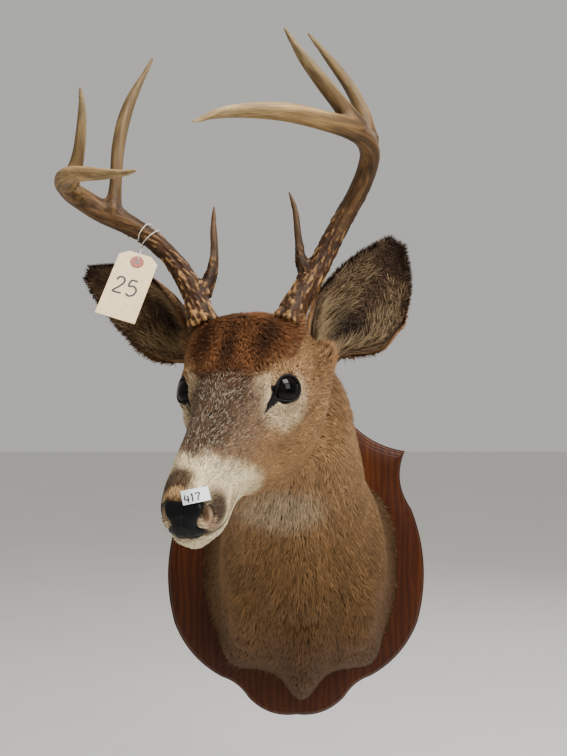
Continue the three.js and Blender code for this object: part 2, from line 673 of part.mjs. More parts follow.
// The stalks of skin and bone that carry the antlers.
const pedicles = [1, -1].map((side) => {
  const [[ax, ay, az], [bx, by, bz]] = [PEDICLE.base, PEDICLE.burr];
  const from = [...inRow(ax, ay * side, az).toArray(), PEDICLE.radius + PEDICLE.foot];
  const to = [...inRow(bx, by * side, bz).toArray(), PEDICLE.radius];
  return taperedBar([from, to], BEAM_SIDES, 2);
});

let flesh = trunk().add(skull());
pedicles.forEach((pedicle) => { flesh = flesh.add(pedicle); });
beams.forEach((beam) => { flesh = flesh.subtract(beam); });
[1, -1].forEach((side) => {
  const [x, y, z] = EYE.socket.centre;
  flesh = flesh.subtract(ball([x, y * side, z], EYE.socket.size, 0)).subtract(eyeball(side, GAP));
  place(side > 0 ? 'eye_left' : 'eye_right', geometryOf(eyeball(side)), 'eye');
});
Object.entries(EARS).forEach(([name, shape]) => {
  flesh = flesh.subtract(ear(shape, GAP));
  place(`ear_${name}`, geometryOf(ear(shape)), 'ear');
});

const [body, front] = parted(flesh, inRow(MUZZLE_CUT, 0, 0), headAxis(0));
const mouthFront = inRow(MOUTH.front[0], 0, MOUTH.front[1]);
const mouthCorner = inRow(MOUTH.corner[0], 0, MOUTH.corner[1]);
const mouthNormal = mouthFront.clone().sub(mouthCorner).cross(headAxis(1)).normalize();
const [jaw, muzzle] = parted(front.subtract(nosePad(GAP)), mouthCorner, mouthNormal);

const throatNormal = vector(THROAT_CUT.normal).normalize();
const [trunkPart, head] = parted(body, vector(THROAT_CUT.point), throatNormal);

const { nape, breast } = TRUNK[SHOULDER_CUT];
const shoulderNormal = new THREE.Vector3(0, breast[1] - nape[1], nape[0] - breast[0]).normalize();
const [shoulders, neck] = parted(trunkPart, new THREE.Vector3(0, ...nape), shoulderNormal);

place('shoulders', geometryOf(shoulders), 'coat');
place('neck', geometryOf(neck), 'coat');
place('head', geometryOf(head), 'face');
place('muzzle', geometryOf(muzzle), 'face');
place('lower_jaw', geometryOf(jaw), 'face');
place('nose_pad', geometryOf(nosePad()), 'nose');
place('muzzle_label', geometryOf(label()), 'label');

place('tag', tag().applyMatrix4(tagMatrix()), 'paper');
place('tag_patch', tagPatch().applyMatrix4(tagMatrix()), 'fibre');
place('tag_string', stringTube(), 'cotton');
place('string_knot', stringKnot(), 'cotton');

export default group;
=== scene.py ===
"""Looks for a whitetail buck shoulder mount that hangs on a shaped walnut wall board.

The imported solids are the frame. One skin goes round head, neck and shoulders, worked out as a
signed distance on a grid so that no seam shows, and the coat is laid on it as small solid
tufts that follow the lie of the hair. Eyes, lids, nose, antlers, board, card tag, string and
paper label are pieces of their own. Lengths in the tables are millimetres and the meshes are
in metres, with +Z up, the wall behind the board at +Y and the buck's left side on +X.
"""

import logging
import math
from dataclasses import dataclass
from enum import Enum

import bpy
import numpy as np
import openvdb as vdb
from mathutils import Matrix


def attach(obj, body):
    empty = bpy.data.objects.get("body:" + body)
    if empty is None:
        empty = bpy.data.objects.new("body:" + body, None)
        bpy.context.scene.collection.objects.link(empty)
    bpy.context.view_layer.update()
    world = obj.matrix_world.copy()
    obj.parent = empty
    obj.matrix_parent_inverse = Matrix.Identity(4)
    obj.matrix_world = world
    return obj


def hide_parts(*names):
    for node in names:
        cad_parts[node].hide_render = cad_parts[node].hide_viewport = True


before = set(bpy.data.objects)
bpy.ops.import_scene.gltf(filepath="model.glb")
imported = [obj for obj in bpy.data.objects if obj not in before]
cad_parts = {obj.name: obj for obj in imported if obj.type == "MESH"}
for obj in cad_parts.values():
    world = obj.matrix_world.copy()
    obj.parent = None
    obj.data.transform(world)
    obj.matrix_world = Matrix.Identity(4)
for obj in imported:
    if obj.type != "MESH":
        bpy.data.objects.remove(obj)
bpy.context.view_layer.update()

LOG = logging.getLogger("buck")
Array = np.ndarray
Body = tuple[Array, list[Array]]  # points, and arrays of faces by the numbers of their corners
Triple = tuple[float, float, float]
MM = 0.001
BODY = "root"
BAKE_MAP = "OFBake"
PATCH = 0.003  # side of one tuft's patch on that map
TRIANGLE_LIMIT = 199000
SIGNS = (1, -1)  # of the sideways direction: the buck's left, and its right
CELL = np.array([[c & 1, c >> 1 & 1, c >> 2 & 1] for c in range(8)])  # corners of a cell


class Side(Enum):
    """A side of the buck, by its sign."""

    LEFT = 1
    RIGHT = -1

    @property
    def word(self) -> str:
        """The side as names have it."""
        return self.name.lower()


# ---------------------------------------------------------------- numbers and curves


def linear(code: str) -> Array:
    """Turns an sRGB hex value such as "8a6440" into linear red, green and blue."""
    value = np.array([int(code[i : i + 2], 16) for i in (0, 2, 4)]) / 255
    return np.where(value <= 0.04045, value / 12.92, ((value + 0.055) / 1.055) ** 2.4)


def unit(vectors: Array) -> Array:
    """Divides each vector by its length."""
    return vectors / np.maximum(np.linalg.norm(vectors, axis=-1, keepdims=True), 1e-12)


def toward(rows: Array, goal: Array | str, share: Array) -> Array:
    """Moves rows, such as colours, to a goal by a share for each; sRGB hex is a goal too."""
    goal = linear(goal) if isinstance(goal, str) else goal
    return rows + (goal - rows) * share[:, None]


def full_turn(sides: int) -> Array:
    """Angles of a whole turn in equal steps, in radians."""
    return np.arange(sides) / sides * 2 * math.pi


def run_of(line: Array) -> Array:
    """How far along a line each of its points is."""
    return np.append(0, np.cumsum(np.linalg.norm(np.diff(line, axis=0), axis=1)))


def from_segment(points: Array, start: Array, end: Array) -> tuple[Array, Array]:
    """Steps from a straight segment to points, and how far along it each is, 0 to 1.

    Args:
        points: any points.
        start: the segment's start.
        end: its end.
    Returns:
        The steps, and the shares of the way along.
    """
    line = end - start
    t = np.clip((points - start) @ line / (line @ line), 0, 1)
    return points - start - t[..., None] * line, t


def laid_flat(way: Array, out: Array) -> Array:
    """Lays directions into the planes that others are square to, as unit vectors."""
    return unit(way - out * (way * out).sum(axis=1, keepdims=True))


def turned(way: Array, out: Array, turn: Array) -> Array:
    """Turns directions about others that they are square to, by angles in radians."""
    return way * np.cos(turn)[:, None] + np.cross(out, way) * np.sin(turn)[:, None]


def on_map(place: Array) -> Array:
    """Draws map places from 0 to 1 in from the edges, which leaves room for a patch."""
    return 0.01 + 0.975 * np.clip(place, 0, 1)


def step(low: float, high: float, value: Array) -> Array:
    """Rises smoothly from 0 at low to 1 at high, as 3t^2 - 2t^3."""
    t = np.clip((value - low) / (high - low), 0, 1)
    return t * t * (3 - 2 * t)


def smooth(values: Array, t: Array) -> Array:
    """Reads a curve through evenly spaced values.

    It is a cubic through each pair whose slope at a value is half the difference of its
    neighbours, and at the ends the difference to the only neighbour.

    Args:
        values: the values, along the first axis.
        t: where to read, from 0 to 1.
    Returns:
        One value, or row of values, for each t.
    """
    values = np.asarray(values, float)
    slopes = np.gradient(values, axis=0)
    along = np.clip(np.asarray(t, float) * (len(values) - 1), 0, len(values) - 1)
    i = np.minimum(along.astype(int), len(values) - 2)
    s = along - i
    if values.ndim > 1:
        s = s[..., None]
    a, b = values[i], values[i + 1]
    leaving = (2 * s**3 - 3 * s**2 + 1) * a + (s**3 - 2 * s**2 + s) * slopes[i]
    return leaving + (3 * s**2 - 2 * s**3) * b + (s**3 - s**2) * slopes[i + 1]


def spline(points: Array, t: Array) -> Array:
    """Reads a centripetal Catmull-Rom curve, the one that the solids' bars follow.

    Knots are spaced by the square root of the distance between points, and each end point
    is mirrored to give the curve its outer neighbour.

    Args:
        points: the points that the curve goes through.
        t: where to read, from 0 at the first point to 1 at the last.
    Returns:
        One point for each t.
    """
    points = np.asarray(points, float)
    ends = np.vstack([2 * points[0] - points[1], points, 2 * points[-1] - points[-2]])
    along = np.clip(np.asarray(t, float) * (len(points) - 1), 0, len(points) - 1)
    i = np.minimum(along.astype(int), len(points) - 2)
    s = (along - i)[:, None]
    p = [ends[i + k] for k in range(4)]
    gap = [np.linalg.norm(p[k + 1] - p[k], axis=1)[:, None] ** 0.5 for k in range(3)]
    out = (p[1] - p[0]) / gap[0] - (p[2] - p[0]) / (gap[0] + gap[1]) + (p[2] - p[1]) / gap[1]
    back = (p[2] - p[1]) / gap[1] - (p[3] - p[1]) / (gap[1] + gap[2]) + (p[3] - p[2]) / gap[2]
    out, back = out * gap[1], back * gap[1]
    square = -3 * p[1] + 3 * p[2] - 2 * out - back
    cube = 2 * p[1] - 2 * p[2] + out + back
    return p[1] + out * s + square * s**2 + cube * s**3


def grain(points: Array, size: float, seed: int) -> Array:
    """Value noise: a random number at each corner of a cubic lattice, smoothly blended between.

    Args:
        points: where to read it.
        size: the lattice's spacing, in the same unit.
        seed: a whole number that picks one noise.
    Returns:
        A number from -1 to 1 for each point.
    """
    place = points / size + seed * 17.31
    low = np.floor(place).astype(np.int64)
    s = place - low
    s = s * s * (3 - 2 * s)
    total = np.zeros(len(points))
    for bit in CELL:
        key = (low + bit) @ np.array([73856093, 19349663, 83492791]) + seed * 2654435761
        key = (key ^ (key >> 13)) * 1274126177 & 0x7FFFFFFF
        key = (key ^ (key >> 16)) & 0xFFFF
        total += np.prod(np.where(bit, s, 1 - s), axis=1) * (key / 32767.5 - 1)
    return total


# ---------------------------------------------------------------- meshes


def add_object(
    name: str, data: bpy.types.ID, axes: Array | None = None, place: Triple = (0, 0, 0)
) -> bpy.types.Object:
    """Makes an object and puts it in the scene.

    Args:
        name: its name.
        data: its mesh, lamp or camera.
        axes: its x, y and z directions as rows, where it is turned.
        place: where it stands, in metres.
    Returns:
        The object.
    """
    made = bpy.data.objects.new(name, data)
    if axes is not None:
        turn = np.eye(4)
        turn[:3, :3], turn[:3, 3] = np.transpose(axes), place
        made.matrix_world = Matrix(turn.tolist())
    bpy.context.scene.collection.objects.link(made)
    return made


def add_piece(
    name: str,
    points: Array,
    faces: list[Array],
    finish: bpy.types.Material,
    slot: str,
    colour: Array | None = None,
    patches: Array | None = None,
    rounded: bool = True,
) -> bpy.types.Object:
    """Makes one object from whole arrays and lets it ride on the mount.

    Args:
        name: the object's name.
        points: corner points in millimetres.
        faces: arrays of corner numbers, each with its own number of corners to a face.
        finish: the material.
        slot: the record's material slot; not used.
        colour: linear colour of each point, kept as the attribute "coat".
        patches: map places of the points, for the map that the coat is baked through.
        rounded: whether it is shaded smooth.
    Returns:
        The object.
    """
    mesh = bpy.data.meshes.new(name)
    corners = np.concatenate([np.ravel(f) for f in faces]).astype(np.int32)
    counts = np.concatenate([np.full(len(f), f.shape[1]) for f in faces])
    mesh.vertices.add(len(points))
    mesh.vertices.foreach_set("co", (points * MM).astype(np.float32).ravel())
    mesh.loops.add(len(corners))
    mesh.loops.foreach_set("vertex_index", corners)
    mesh.polygons.add(len(counts))
    starts = np.concatenate([[0], np.cumsum(counts)[:-1]]).astype(np.int32)
    mesh.polygons.foreach_set("loop_start", starts)
    mesh.polygons.foreach_set("use_smooth", np.full(len(counts), rounded))
    mesh.update(calc_edges=True)
    if colour is not None:
        layer = mesh.attributes.new("coat", "FLOAT_COLOR", "POINT")
        full = np.ones((len(points), 4), np.float32)
        full[:, :3] = np.clip(colour, 0, 1)
        layer.data.foreach_set("color", full.ravel())
    if patches is not None:
        layer = mesh.uv_layers.new(name=BAKE_MAP)
        layer.data.foreach_set("uv", patches[corners].astype(np.float32).ravel())
    mesh.materials.append(finish)
    piece = add_object(name, mesh)
    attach(piece, BODY)
    LOG.info("%s: %d triangles", name, int((counts - 2).sum()))
    return piece


def rings_to_faces(rings: int, sides: int) -> list[Array]:
    """Numbers the faces of a tube of rings, with a fan to a middle point at each end.

    The middle points come after the rings' points, the first ring's first.

    Args:
        rings: how many rings.
        sides: points to a ring.
    Returns:
        The faces of four corners, and those of three.
    """
    r, i = np.meshgrid(np.arange(rings - 1), np.arange(sides), indexing="ij")
    a, b = r * sides + i, r * sides + (i + 1) % sides
    tube = np.stack([a, b, b + sides, a + sides], axis=-1).reshape(-1, 4)
    k = np.arange(sides)
    near, far = rings * sides, rings * sides + 1
    last = (rings - 1) * sides
    first_fan = np.stack([(k + 1) % sides, k, np.full(sides, near)], axis=1)
    last_fan = np.stack([last + k, last + (k + 1) % sides, np.full(sides, far)], axis=1)
    return [tube, np.vstack([first_fan, last_fan])]


def with_middles(rings: Array) -> Array:
    """Lists the points of rings (ring, side, xyz) and then the middle of both end rings."""
    ends = np.stack([rings[0].mean(axis=0), rings[-1].mean(axis=0)])
    return np.vstack([rings.reshape(-1, 3), ends])


def turned_out(points: Array, faces: list[Array]) -> list[Array]:
    """Flips every face if the closed body's signed volume is negative.

    Args:
        points: the body's points.
        faces: its faces.
    Returns:
        The faces, all pointing out.
    """
    volume = 0.0
    for face in faces:
        for k in range(1, face.shape[1] - 1):
            a, b, c = points[face[:, 0]], points[face[:, k]], points[face[:, k + 1]]
            volume += np.einsum("ij,ij->", a, np.cross(b, c))
    return faces if volume > 0 else [f[:, ::-1] for f in faces]


def closed(rings: Array) -> Body:
    """Closes rings (ring, side, xyz) to a body whose faces point outward."""
    points = with_middles(rings)
    return points, turned_out(points, rings_to_faces(rings.shape[0], rings.shape[1]))


def tube_rings(path: Array, radii: Array, sides: int) -> Array:
    """Carries a circle along a path, turning it as little as possible.

    Args:
        path: points of the path.
        radii: the radius at each.
        sides: corners of the circle.
    Returns:
        The rings (ring, side, xyz).
    """
    tangent = unit(np.gradient(path, axis=0))
    across = np.zeros_like(path)
    side = np.array([0.0, -1.0, 0.0])
    for k in range(len(path)):  # each direction follows from the one before
        side = unit(side - tangent[k] * (side @ tangent[k]))
        across[k] = side
    other = np.cross(tangent, across)
    angle = full_turn(sides)
    reach = np.asarray(radii)[:, None, None]
    ring = across[:, None] * np.cos(angle)[:, None] + other[:, None] * np.sin(angle)[:, None]
    return path[:, None] + reach * ring


def ink_bar(middle: Array, side: Array, out: Array, low: float, high: float) -> Array:
    """Lays a flat bar of ink along a line on a sheet.

    Args:
        middle: the line's points.
        side: half of the bar's width at each.
        out: the sheet's outward direction.
        low: height of the bar's underside over the line.
        high: height of its top.
    Returns:
        The points of its rings and of their middles.
    """
    corners = ((1, high), (-1, high), (-1, low), (1, low))
    return with_middles(np.stack([middle + side * s + out * h for s, h in corners], axis=1))


def add_ink(name: str, bars: list[Array], slot: str) -> bpy.types.Object:
    """Makes one piece of several bars of ink.

    Args:
        name: the piece's name.
        bars: what ink_bar gives, one to a stroke.
        slot: the record's material slot.
    Returns:
        The piece.
    """
    sheets, start = [], 0
    for bar in bars:
        own = turned_out(bar, rings_to_faces((len(bar) - 2) // 4, 4))
        sheets.append([f + start for f in own])
        start += len(bar)
    joined = [np.vstack([f[k] for f in sheets]) for k in range(2)]
    return add_piece(name, np.vstack(bars), joined, INK, slot, rounded=False)


# ---------------------------------------------------------------- finishes


def rgba(code: str) -> tuple[float, float, float, float]:
    """Linear colour and full alpha of an sRGB hex value."""
    return (*linear(code).tolist(), 1.0)


class Shading:
    """A new material with its shader, and the steps that the finishes share.

    A value to link is a pair of a node and the name of its output.
    """

    def __init__(self, name: str) -> None:
        """Makes the material, its shader and the object's coordinates."""
        self.material = bpy.data.materials.new(name)
        self.material.use_nodes = True
        self.tree = self.material.node_tree
        self.tree.nodes.clear()
        self.shader = self.add("BsdfPrincipled")
        self.add("OutputMaterial", inputs={"Surface": (self.shader, "BSDF")})
        self.place = (self.add("TexCoord"), "Object")

    def add(
        self, kind: str, settings: dict | None = None, inputs: dict | None = None
    ) -> bpy.types.ShaderNode:
        """Adds a shader node.

        Args:
            kind: the node's type without "ShaderNode".
            settings: its properties.
            inputs: a value, or a pair to link, for each input's name or number.
        Returns:
            The node.
        """
        made = self.tree.nodes.new("ShaderNode" + kind)
        for key, value in (settings or {}).items():
            setattr(made, key, value)
        for key, value in (inputs or {}).items():
            if isinstance(value, tuple) and hasattr(value[0], "outputs"):
                self.tree.links.new(value[0].outputs[value[1]], made.inputs[key])
            else:
                made.inputs[key].default_value = value
        return made

    def noise(self, scale: float, detail: float = 2.0, place: tuple | None = None) -> tuple:
        """Adds noise of so many cells to a metre, read at the object's place or another."""
        read = {"Vector": place or self.place, "Scale": scale, "Detail": detail}
        return self.add("TexNoise", inputs=read), "Fac"

    def drawn_out(self, share: float) -> tuple:
        """The object's place with its height squeezed, so that what reads it runs upright."""
        read = {"Vector": self.place, "Scale": (1.0, 1.0, share)}
        return self.add("Mapping", inputs=read), "Vector"

    def mix(self, share: float, first: tuple, second: tuple) -> tuple:
        """Mixes two values, with a share of the second."""
        parts = {"Factor": share, 2: first, 3: second}
        return self.add("Mix", {"data_type": "FLOAT"}, parts), "Result"

    def paint(self, value: tuple, stops: list[tuple[float, str]]) -> None:
        """Colours the shader by a value, through a ramp of sRGB hex stops.

        Args:
            value: the value to link.
            stops: place from 0 to 1, and colour.
        """
        made = self.add("ValToRGB", inputs={"Fac": value})
        points = made.color_ramp.elements
        while len(points) < len(stops):
            points.new(0.5)
        for point, (place, code) in zip(points, stops):
            point.position = place
            point.color = rgba(code)
        self.tree.links.new(made.outputs["Color"], self.shader.inputs["Base Color"])

    def tint(
        self, value: tuple, low: float, high: float, ends: tuple[float, float] = (0.0, 1.0)
    ) -> None:
        """Colours the shader by the piece's own colours, scaled by a value.

        Args:
            value: the value.
            low: the scale where the value is at its lower end.
            high: the scale where it is at its upper end.
            ends: both ends.
        """
        own = self.add("Attribute", {"attribute_name": "coat"})
        levels = {"Value": value, 1: ends[0], 2: ends[1], 3: low, 4: high}
        shade = self.add("MapRange", inputs=levels)
        parts = {0: (own, "Color"), "Scale": (shade, "Result")}
        made = self.add("VectorMath", {"operation": "SCALE"}, parts)
        self.tree.links.new(made.outputs["Vector"], self.shader.inputs["Base Color"])

    def bump(self, height: tuple, deep: float, strength: float, invert: bool = False) -> None:
        """Adds relief from a height, so many millimetres deep.

        Args:
            height: the value to link.
            deep: its whole range in millimetres.
            strength: from 0 to 1.
            invert: whether a high value is low.
        """
        parts = {"Height": height, "Distance": deep * MM, "Strength": strength}
        made = self.add("Bump", {"invert": invert}, parts)
        self.tree.links.new(made.outputs["Normal"], self.shader.inputs["Normal"])

    def made(self, **values: float) -> bpy.types.Material:
        """Sets the shader's inputs by name, with _ for a space, and gives the material."""
        for key, value in values.items():
            self.shader.inputs[key.replace("_", " ")].default_value = value
        return self.material


@dataclass(frozen=True)
class HairCoat:
    """Deer hair: hollow straight hair with a soft satin sheen, lightest at its tips."""

    name: str = "whitetail_coat"
    roughness: float = 0.62
    speckle: float = 900.0  # noise cells to a metre, about the width of a lock of hair
    bump: float = 0.0  # millimetres

    def make(self) -> bpy.types.Material:
        """The piece's own colours, broken up by fine noise."""
        shading = Shading(self.name)
        noise = shading.noise(self.speckle)
        shading.tint(noise, 0.72, 1.28)
        if self.bump:
            shading.bump(noise, self.bump, 0.8)
        return shading.made(Roughness=self.roughness, Specular_IOR_Level=0.16)


@dataclass(frozen=True)
class BareSkin:
    """Bare painted skin of nose and lids: a fine pebble, slightly wet."""

    name: str
    dark: str
    light: str
    roughness: float = 0.38
    pebble: float = 420.0  # cells to a metre, 2.4 mm across

    def make(self) -> bpy.types.Material:
        """Cell pattern for the pebble, with the cells' edges lower, and darker as painted shade in the
        grooves.
        """
        shading = Shading(self.name)
        read = {"Vector": shading.place, "Scale": self.pebble, "Randomness": 0.85}
        cells = (shading.add("TexVoronoi", {"feature": "F1"}, read), "Distance")
        shading.paint(cells, [(0.1, self.light), (0.75, self.dark)])
        shading.bump(cells, 0.25, 0.7, invert=True)
        return shading.made(Roughness=self.roughness, Specular_IOR_Level=0.2)


@dataclass(frozen=True)
class GlassEye:
    """Taxidermist's glass eye: near-black brown with a polished front."""

    name: str = "glass_eye"

    def make(self) -> bpy.types.Material:
        """The piece's own iris colours with fine flecks, polished."""
        shading = Shading(self.name)
        shading.tint(shading.noise(700.0), 0.7, 1.3)
        return shading.made(Roughness=0.06, Specular_IOR_Level=0.15)


@dataclass(frozen=True)
class Walnut:
    """Walnut, stained dark and varnished: long grain with a satin gloss."""

    name: str = "walnut"
    ring: float = 9.0  # millimetres between growth rings on the face

    def make(self) -> bpy.types.Material:
        """Rings bent by slow noise, and fine pores stretched along the grain."""
        shading = Shading(self.name)
        long = shading.drawn_out(0.16)
        slow = shading.noise(16.0, 3.0, long)
        wave = {
            "Vector": long,
            "Scale": 1000.0 / self.ring * math.pi / 10.0,
            "Distortion": 7.0,
            "Detail": 3.0,
            "Detail Scale": 1.6,
        }
        rings = shading.add("TexWave", {"wave_type": "BANDS", "bands_direction": "X"}, wave)
        pore = shading.noise(900.0, 2.0, shading.drawn_out(0.035))
        tone = shading.mix(0.8, (rings, "Fac"), slow)
        stops = [(0.25, "260e02"), (0.45, "381604"), (0.6, "482006"), (0.8, "5c310f")]
        shading.paint(shading.mix(0.3, tone, pore), stops)
        shading.bump(pore, 0.15, 0.35)
        return shading.made(Roughness=0.42, Specular_IOR_Level=0.14)


@dataclass(frozen=True)
class AntlerBone:
    """Weathered antler: tan bone with long streaks, stained and pearled towards the skull."""

    name: str = "antler_bone"

    def make(self) -> bpy.types.Material:
        """The piece's own stain, with fine long streaks and pores."""
        shading = Shading(self.name)
        run = (shading.add("Attribute", {"attribute_name": "run"}), "Vector")
        streak = shading.noise(560.0, 4.0, run)
        shading.tint(streak, 0.56, 1.34, (0.3, 0.7))
        shading.bump(streak, 0.35, 0.5)
        return shading.made(Roughness=0.58, Specular_IOR_Level=0.22)


@dataclass(frozen=True)
class Plain:
    """A near-even finish with a little mottling: card, paper, fibre, cotton, ink or steel."""

    name: str
    light: str
    dark: str
    scale: float  # mottles to a metre
    roughness: float
    metallic: float = 0.0
    bump: float = 0.05  # millimetres

    def make(self) -> bpy.types.Material:
        """Noise between two near colours."""
        shading = Shading(self.name)
        noise = shading.noise(self.scale, 4.0)
        shading.paint(noise, [(0.3, self.dark), (0.7, self.light)])
        shading.bump(noise, self.bump, 0.4)
        return shading.made(Roughness=self.roughness, Metallic=self.metallic)


COAT = HairCoat().make()
SKIN = HairCoat("whitetail_skin", 0.75, 700.0, 0.8).make()
EYE_GLASS = GlassEye().make()
WALNUT = Walnut().make()
BONE = AntlerBone().make()
NOSE_SKIN = BareSkin("painted_nose", "020203", "0a0a0c").make()
LID_SKIN = BareSkin("painted_lid", "050404", "0c0a09", 0.6, 700.0).make()
# Manila card is a buff, faintly fibrous board with no gloss.
CARD = Plain("manila_card", "fbe0b4", "f0d09c", 260.0, 0.85).make()
# Vulcanised fibre is hard paper, dyed brick pink, with a slight polish.
FIBRE = Plain("vulcanised_fibre", "b0604f", "9c4d3f", 500.0, 0.55).make()
COTTON = Plain("cotton_twine", "efe9dd", "cfc6b4", 1800.0, 0.95, bump=0.1).make()
PAPER = Plain("white_paper", "f4f4f6", "e6e7ec", 300.0, 0.6).make()
INK = Plain("marker_ink", "1b1a22", "101015", 400.0, 0.5, bump=0.0).make()
STEEL = Plain("zinc_plated_steel", "b9b7b2", "8f8d88", 120.0, 0.35, metallic=1.0).make()


# ---------------------------------------------------------------- camera and light


@dataclass(frozen=True)
class Studio:
    """Camera, soft lamps and pale floor."""

    focal: float = 931.0  # in pixels of the view
    view: tuple[float, float] = (567.0, 756.0)  # its width and height in pixels
    sensor: float = 36.0
    place: Triple = (-53.95, -1291.4, 181.3)
    yaw: float = 0.0282
    pitch: float = 0.04614
    floor: float = -520.0
    floor_half: float = 20000.0
    # Name, place, size and power of each lamp, in metres and watts, and what all point at.
    lamps: tuple[tuple[str, Triple, float, float], ...] = (
        ("lamp_overhead", (0.5, -1.15, 1.75), 0.9, 52.0),
        ("lamp_front", (1.3, -2.1, 1.2), 1.2, 30.0),
        ("lamp_back", (1.4, 1.6, 1.6), 1.5, 18.0),
    )
    aim: Triple = (-0.04, -0.3, 0.15)
    sky: str = "e9e8e4"
    sky_strength: float = 0.62

    def axes(self) -> tuple[Array, Array, Array]:
        """The camera's right, up and forward directions."""
        cy, sy = math.cos(self.yaw), math.sin(self.yaw)
        cp, sp = math.cos(self.pitch), math.sin(self.pitch)
        ahead, right = np.array([sy * cp, cy * cp, sp]), np.array([cy, -sy, 0.0])
        return right, np.cross(right, ahead), ahead

    def add_camera(self) -> None:
        """Makes the camera and sets it as the scene's."""
        data = bpy.data.cameras.new("camera")
        data.sensor_width = self.sensor
        data.lens = self.focal * self.sensor / self.view[1]
        data.clip_start, data.clip_end = 0.05, 60.0
        right, up, ahead = self.axes()
        axes = np.stack([right, up, -ahead])
        bpy.context.scene.camera = add_object("camera", data, axes, np.array(self.place) * MM)

    def add_lamps(self) -> None:
        """Adds the square soft lamps."""
        for name, place, size, power in self.lamps:
            data = bpy.data.lights.new(name, "AREA")
            data.size, data.energy = size, power
            back = unit(np.array(place) - np.array(self.aim))
            side = unit(np.cross([0.0, 0.0, 1.0], back))
            add_object(name, data, np.stack([side, np.cross(back, side), back]), place)

    def build(self) -> None:
        """Makes the whole studio."""
        self.add_camera()
        self.add_lamps()
        world = bpy.data.worlds.new("studio")
        world.use_nodes = True
        sky = world.node_tree.nodes["Background"]
        sky.inputs["Color"].default_value = rgba(self.sky)
        sky.inputs["Strength"].default_value = self.sky_strength
        bpy.context.scene.world = world
        ways = np.array([(-1, -1, 0), (1, -1, 0), (1, 1, 0), (-1, 1, 0)])
        corners = ways * self.floor_half + [0, 0, self.floor]
        mesh = bpy.data.meshes.new("floor")
        mesh.from_pydata((corners * MM).tolist(), [], [(0, 1, 2, 3)])
        mesh.materials.append(Plain("matt_floor", "e9e7e2", "e5e3de", 3.0, 0.9).make())
        add_object("floor", mesh)


# ---------------------------------------------------------------- frames of head and neck


@dataclass(frozen=True)
class Head:
    """The head's frame and the cuts across it: x runs to the nose, y to the buck's left.

    Each station is x, top, widest level, bottom, half width, and the squareness of the upper
    and the lower half. Angles are in degrees.
    """

    origin: Triple = (-71.5, -395.3, 207.4)
    yaw: float = 16.0
    pitch: float = 32.2
    roll: float = 0.5
    stations: tuple[tuple[float, ...], ...] = (
        (188, -13, -19, -26, 7, 2, 2),
        (184, -4, -14, -35, 15, 2.2, 2),
        (176, 9, -11, -43, 21, 2.2, 2),
        (160, 18, -11, -49, 25, 2.1, 2),
        (135, 25, -12, -54, 26.5, 2.1, 2),
        (105, 30, -15, -59, 28.5, 2.1, 2),
        (75, 35, -18, -70, 30.5, 2.1, 2.2),
        (45, 41, -19, -89, 40, 1.9, 2.5),
        (15, 48, -15, -104, 54, 2.1, 2.8),
        (-15, 56, -8, -112, 64, 2.3, 3),
        (-45, 61, -3, -116, 68, 2.3, 3),
        (-75, 52, 0, -107, 65, 2.2, 2.6),
        (-100, 35, 0, -80, 56, 2, 2.2),
        (-120, 10, 0, -32, 32, 2, 2),
    )
    rings: int = 150
    sides: int = 96
    eye: Triple = (2.0, 44.0, 4.0)
    eye_radius: float = 17.0

    def basis(self) -> Array:
        """Rows are the head's forward, left and up directions in the row's frame."""
        yaw, pitch, roll = (math.radians(a) for a in (self.yaw, self.pitch, self.roll))
        ahead = np.array(
            [-math.sin(yaw) * math.cos(pitch), -math.cos(yaw) * math.cos(pitch), -math.sin(pitch)]
        )
        level = np.array([math.cos(yaw), -math.sin(yaw), 0.0])
        left = level * math.cos(roll) + np.cross(ahead, level) * math.sin(roll)
        return np.stack([ahead, left, np.cross(ahead, left)])

    def to_row(self, points: Array) -> Array:
        """Places head points in the row's frame."""
        return np.asarray(points, float) @ self.basis() + np.array(self.origin)

    def side_to_row(self, points: Array, sign: int) -> Array:
        """Places points of the head's left side, or of its right side with the sign -1."""
        return self.to_row(np.array(points) * [1, sign, 1])

    def to_head(self, points: Array) -> Array:
        """Gives row points in the head's frame."""
        return (np.asarray(points, float) - np.array(self.origin)) @ self.basis().T

    def surface(self) -> Body:
        """The skull's loft: an oval at each x whose halves have their own squareness."""
        table = np.array(self.stations)
        t = np.linspace(0, 1, self.rings)
        x = np.interp(t * (len(table) - 1), np.arange(len(table)), table[:, 0])
        top, wide, bottom, half, upper, lower = smooth(table[:, 1:], t).T
        angle = full_turn(self.sides)
        c, n = np.cos(angle)[None], np.sin(angle)[None]
        power = 2 / np.where(n > 0, upper[:, None], lower[:, None])
        rise = np.where(n > 0, (top - wide)[:, None], (wide - bottom)[:, None])
        y = np.sign(c) * np.abs(c) ** power * half[:, None]
        z = wide[:, None] + np.sign(n) * np.abs(n) ** power * rise
        rings = np.stack([np.broadcast_to(x[:, None], y.shape), y, z], axis=-1)
        points, faces = closed(rings)
        return self.to_row(points), faces


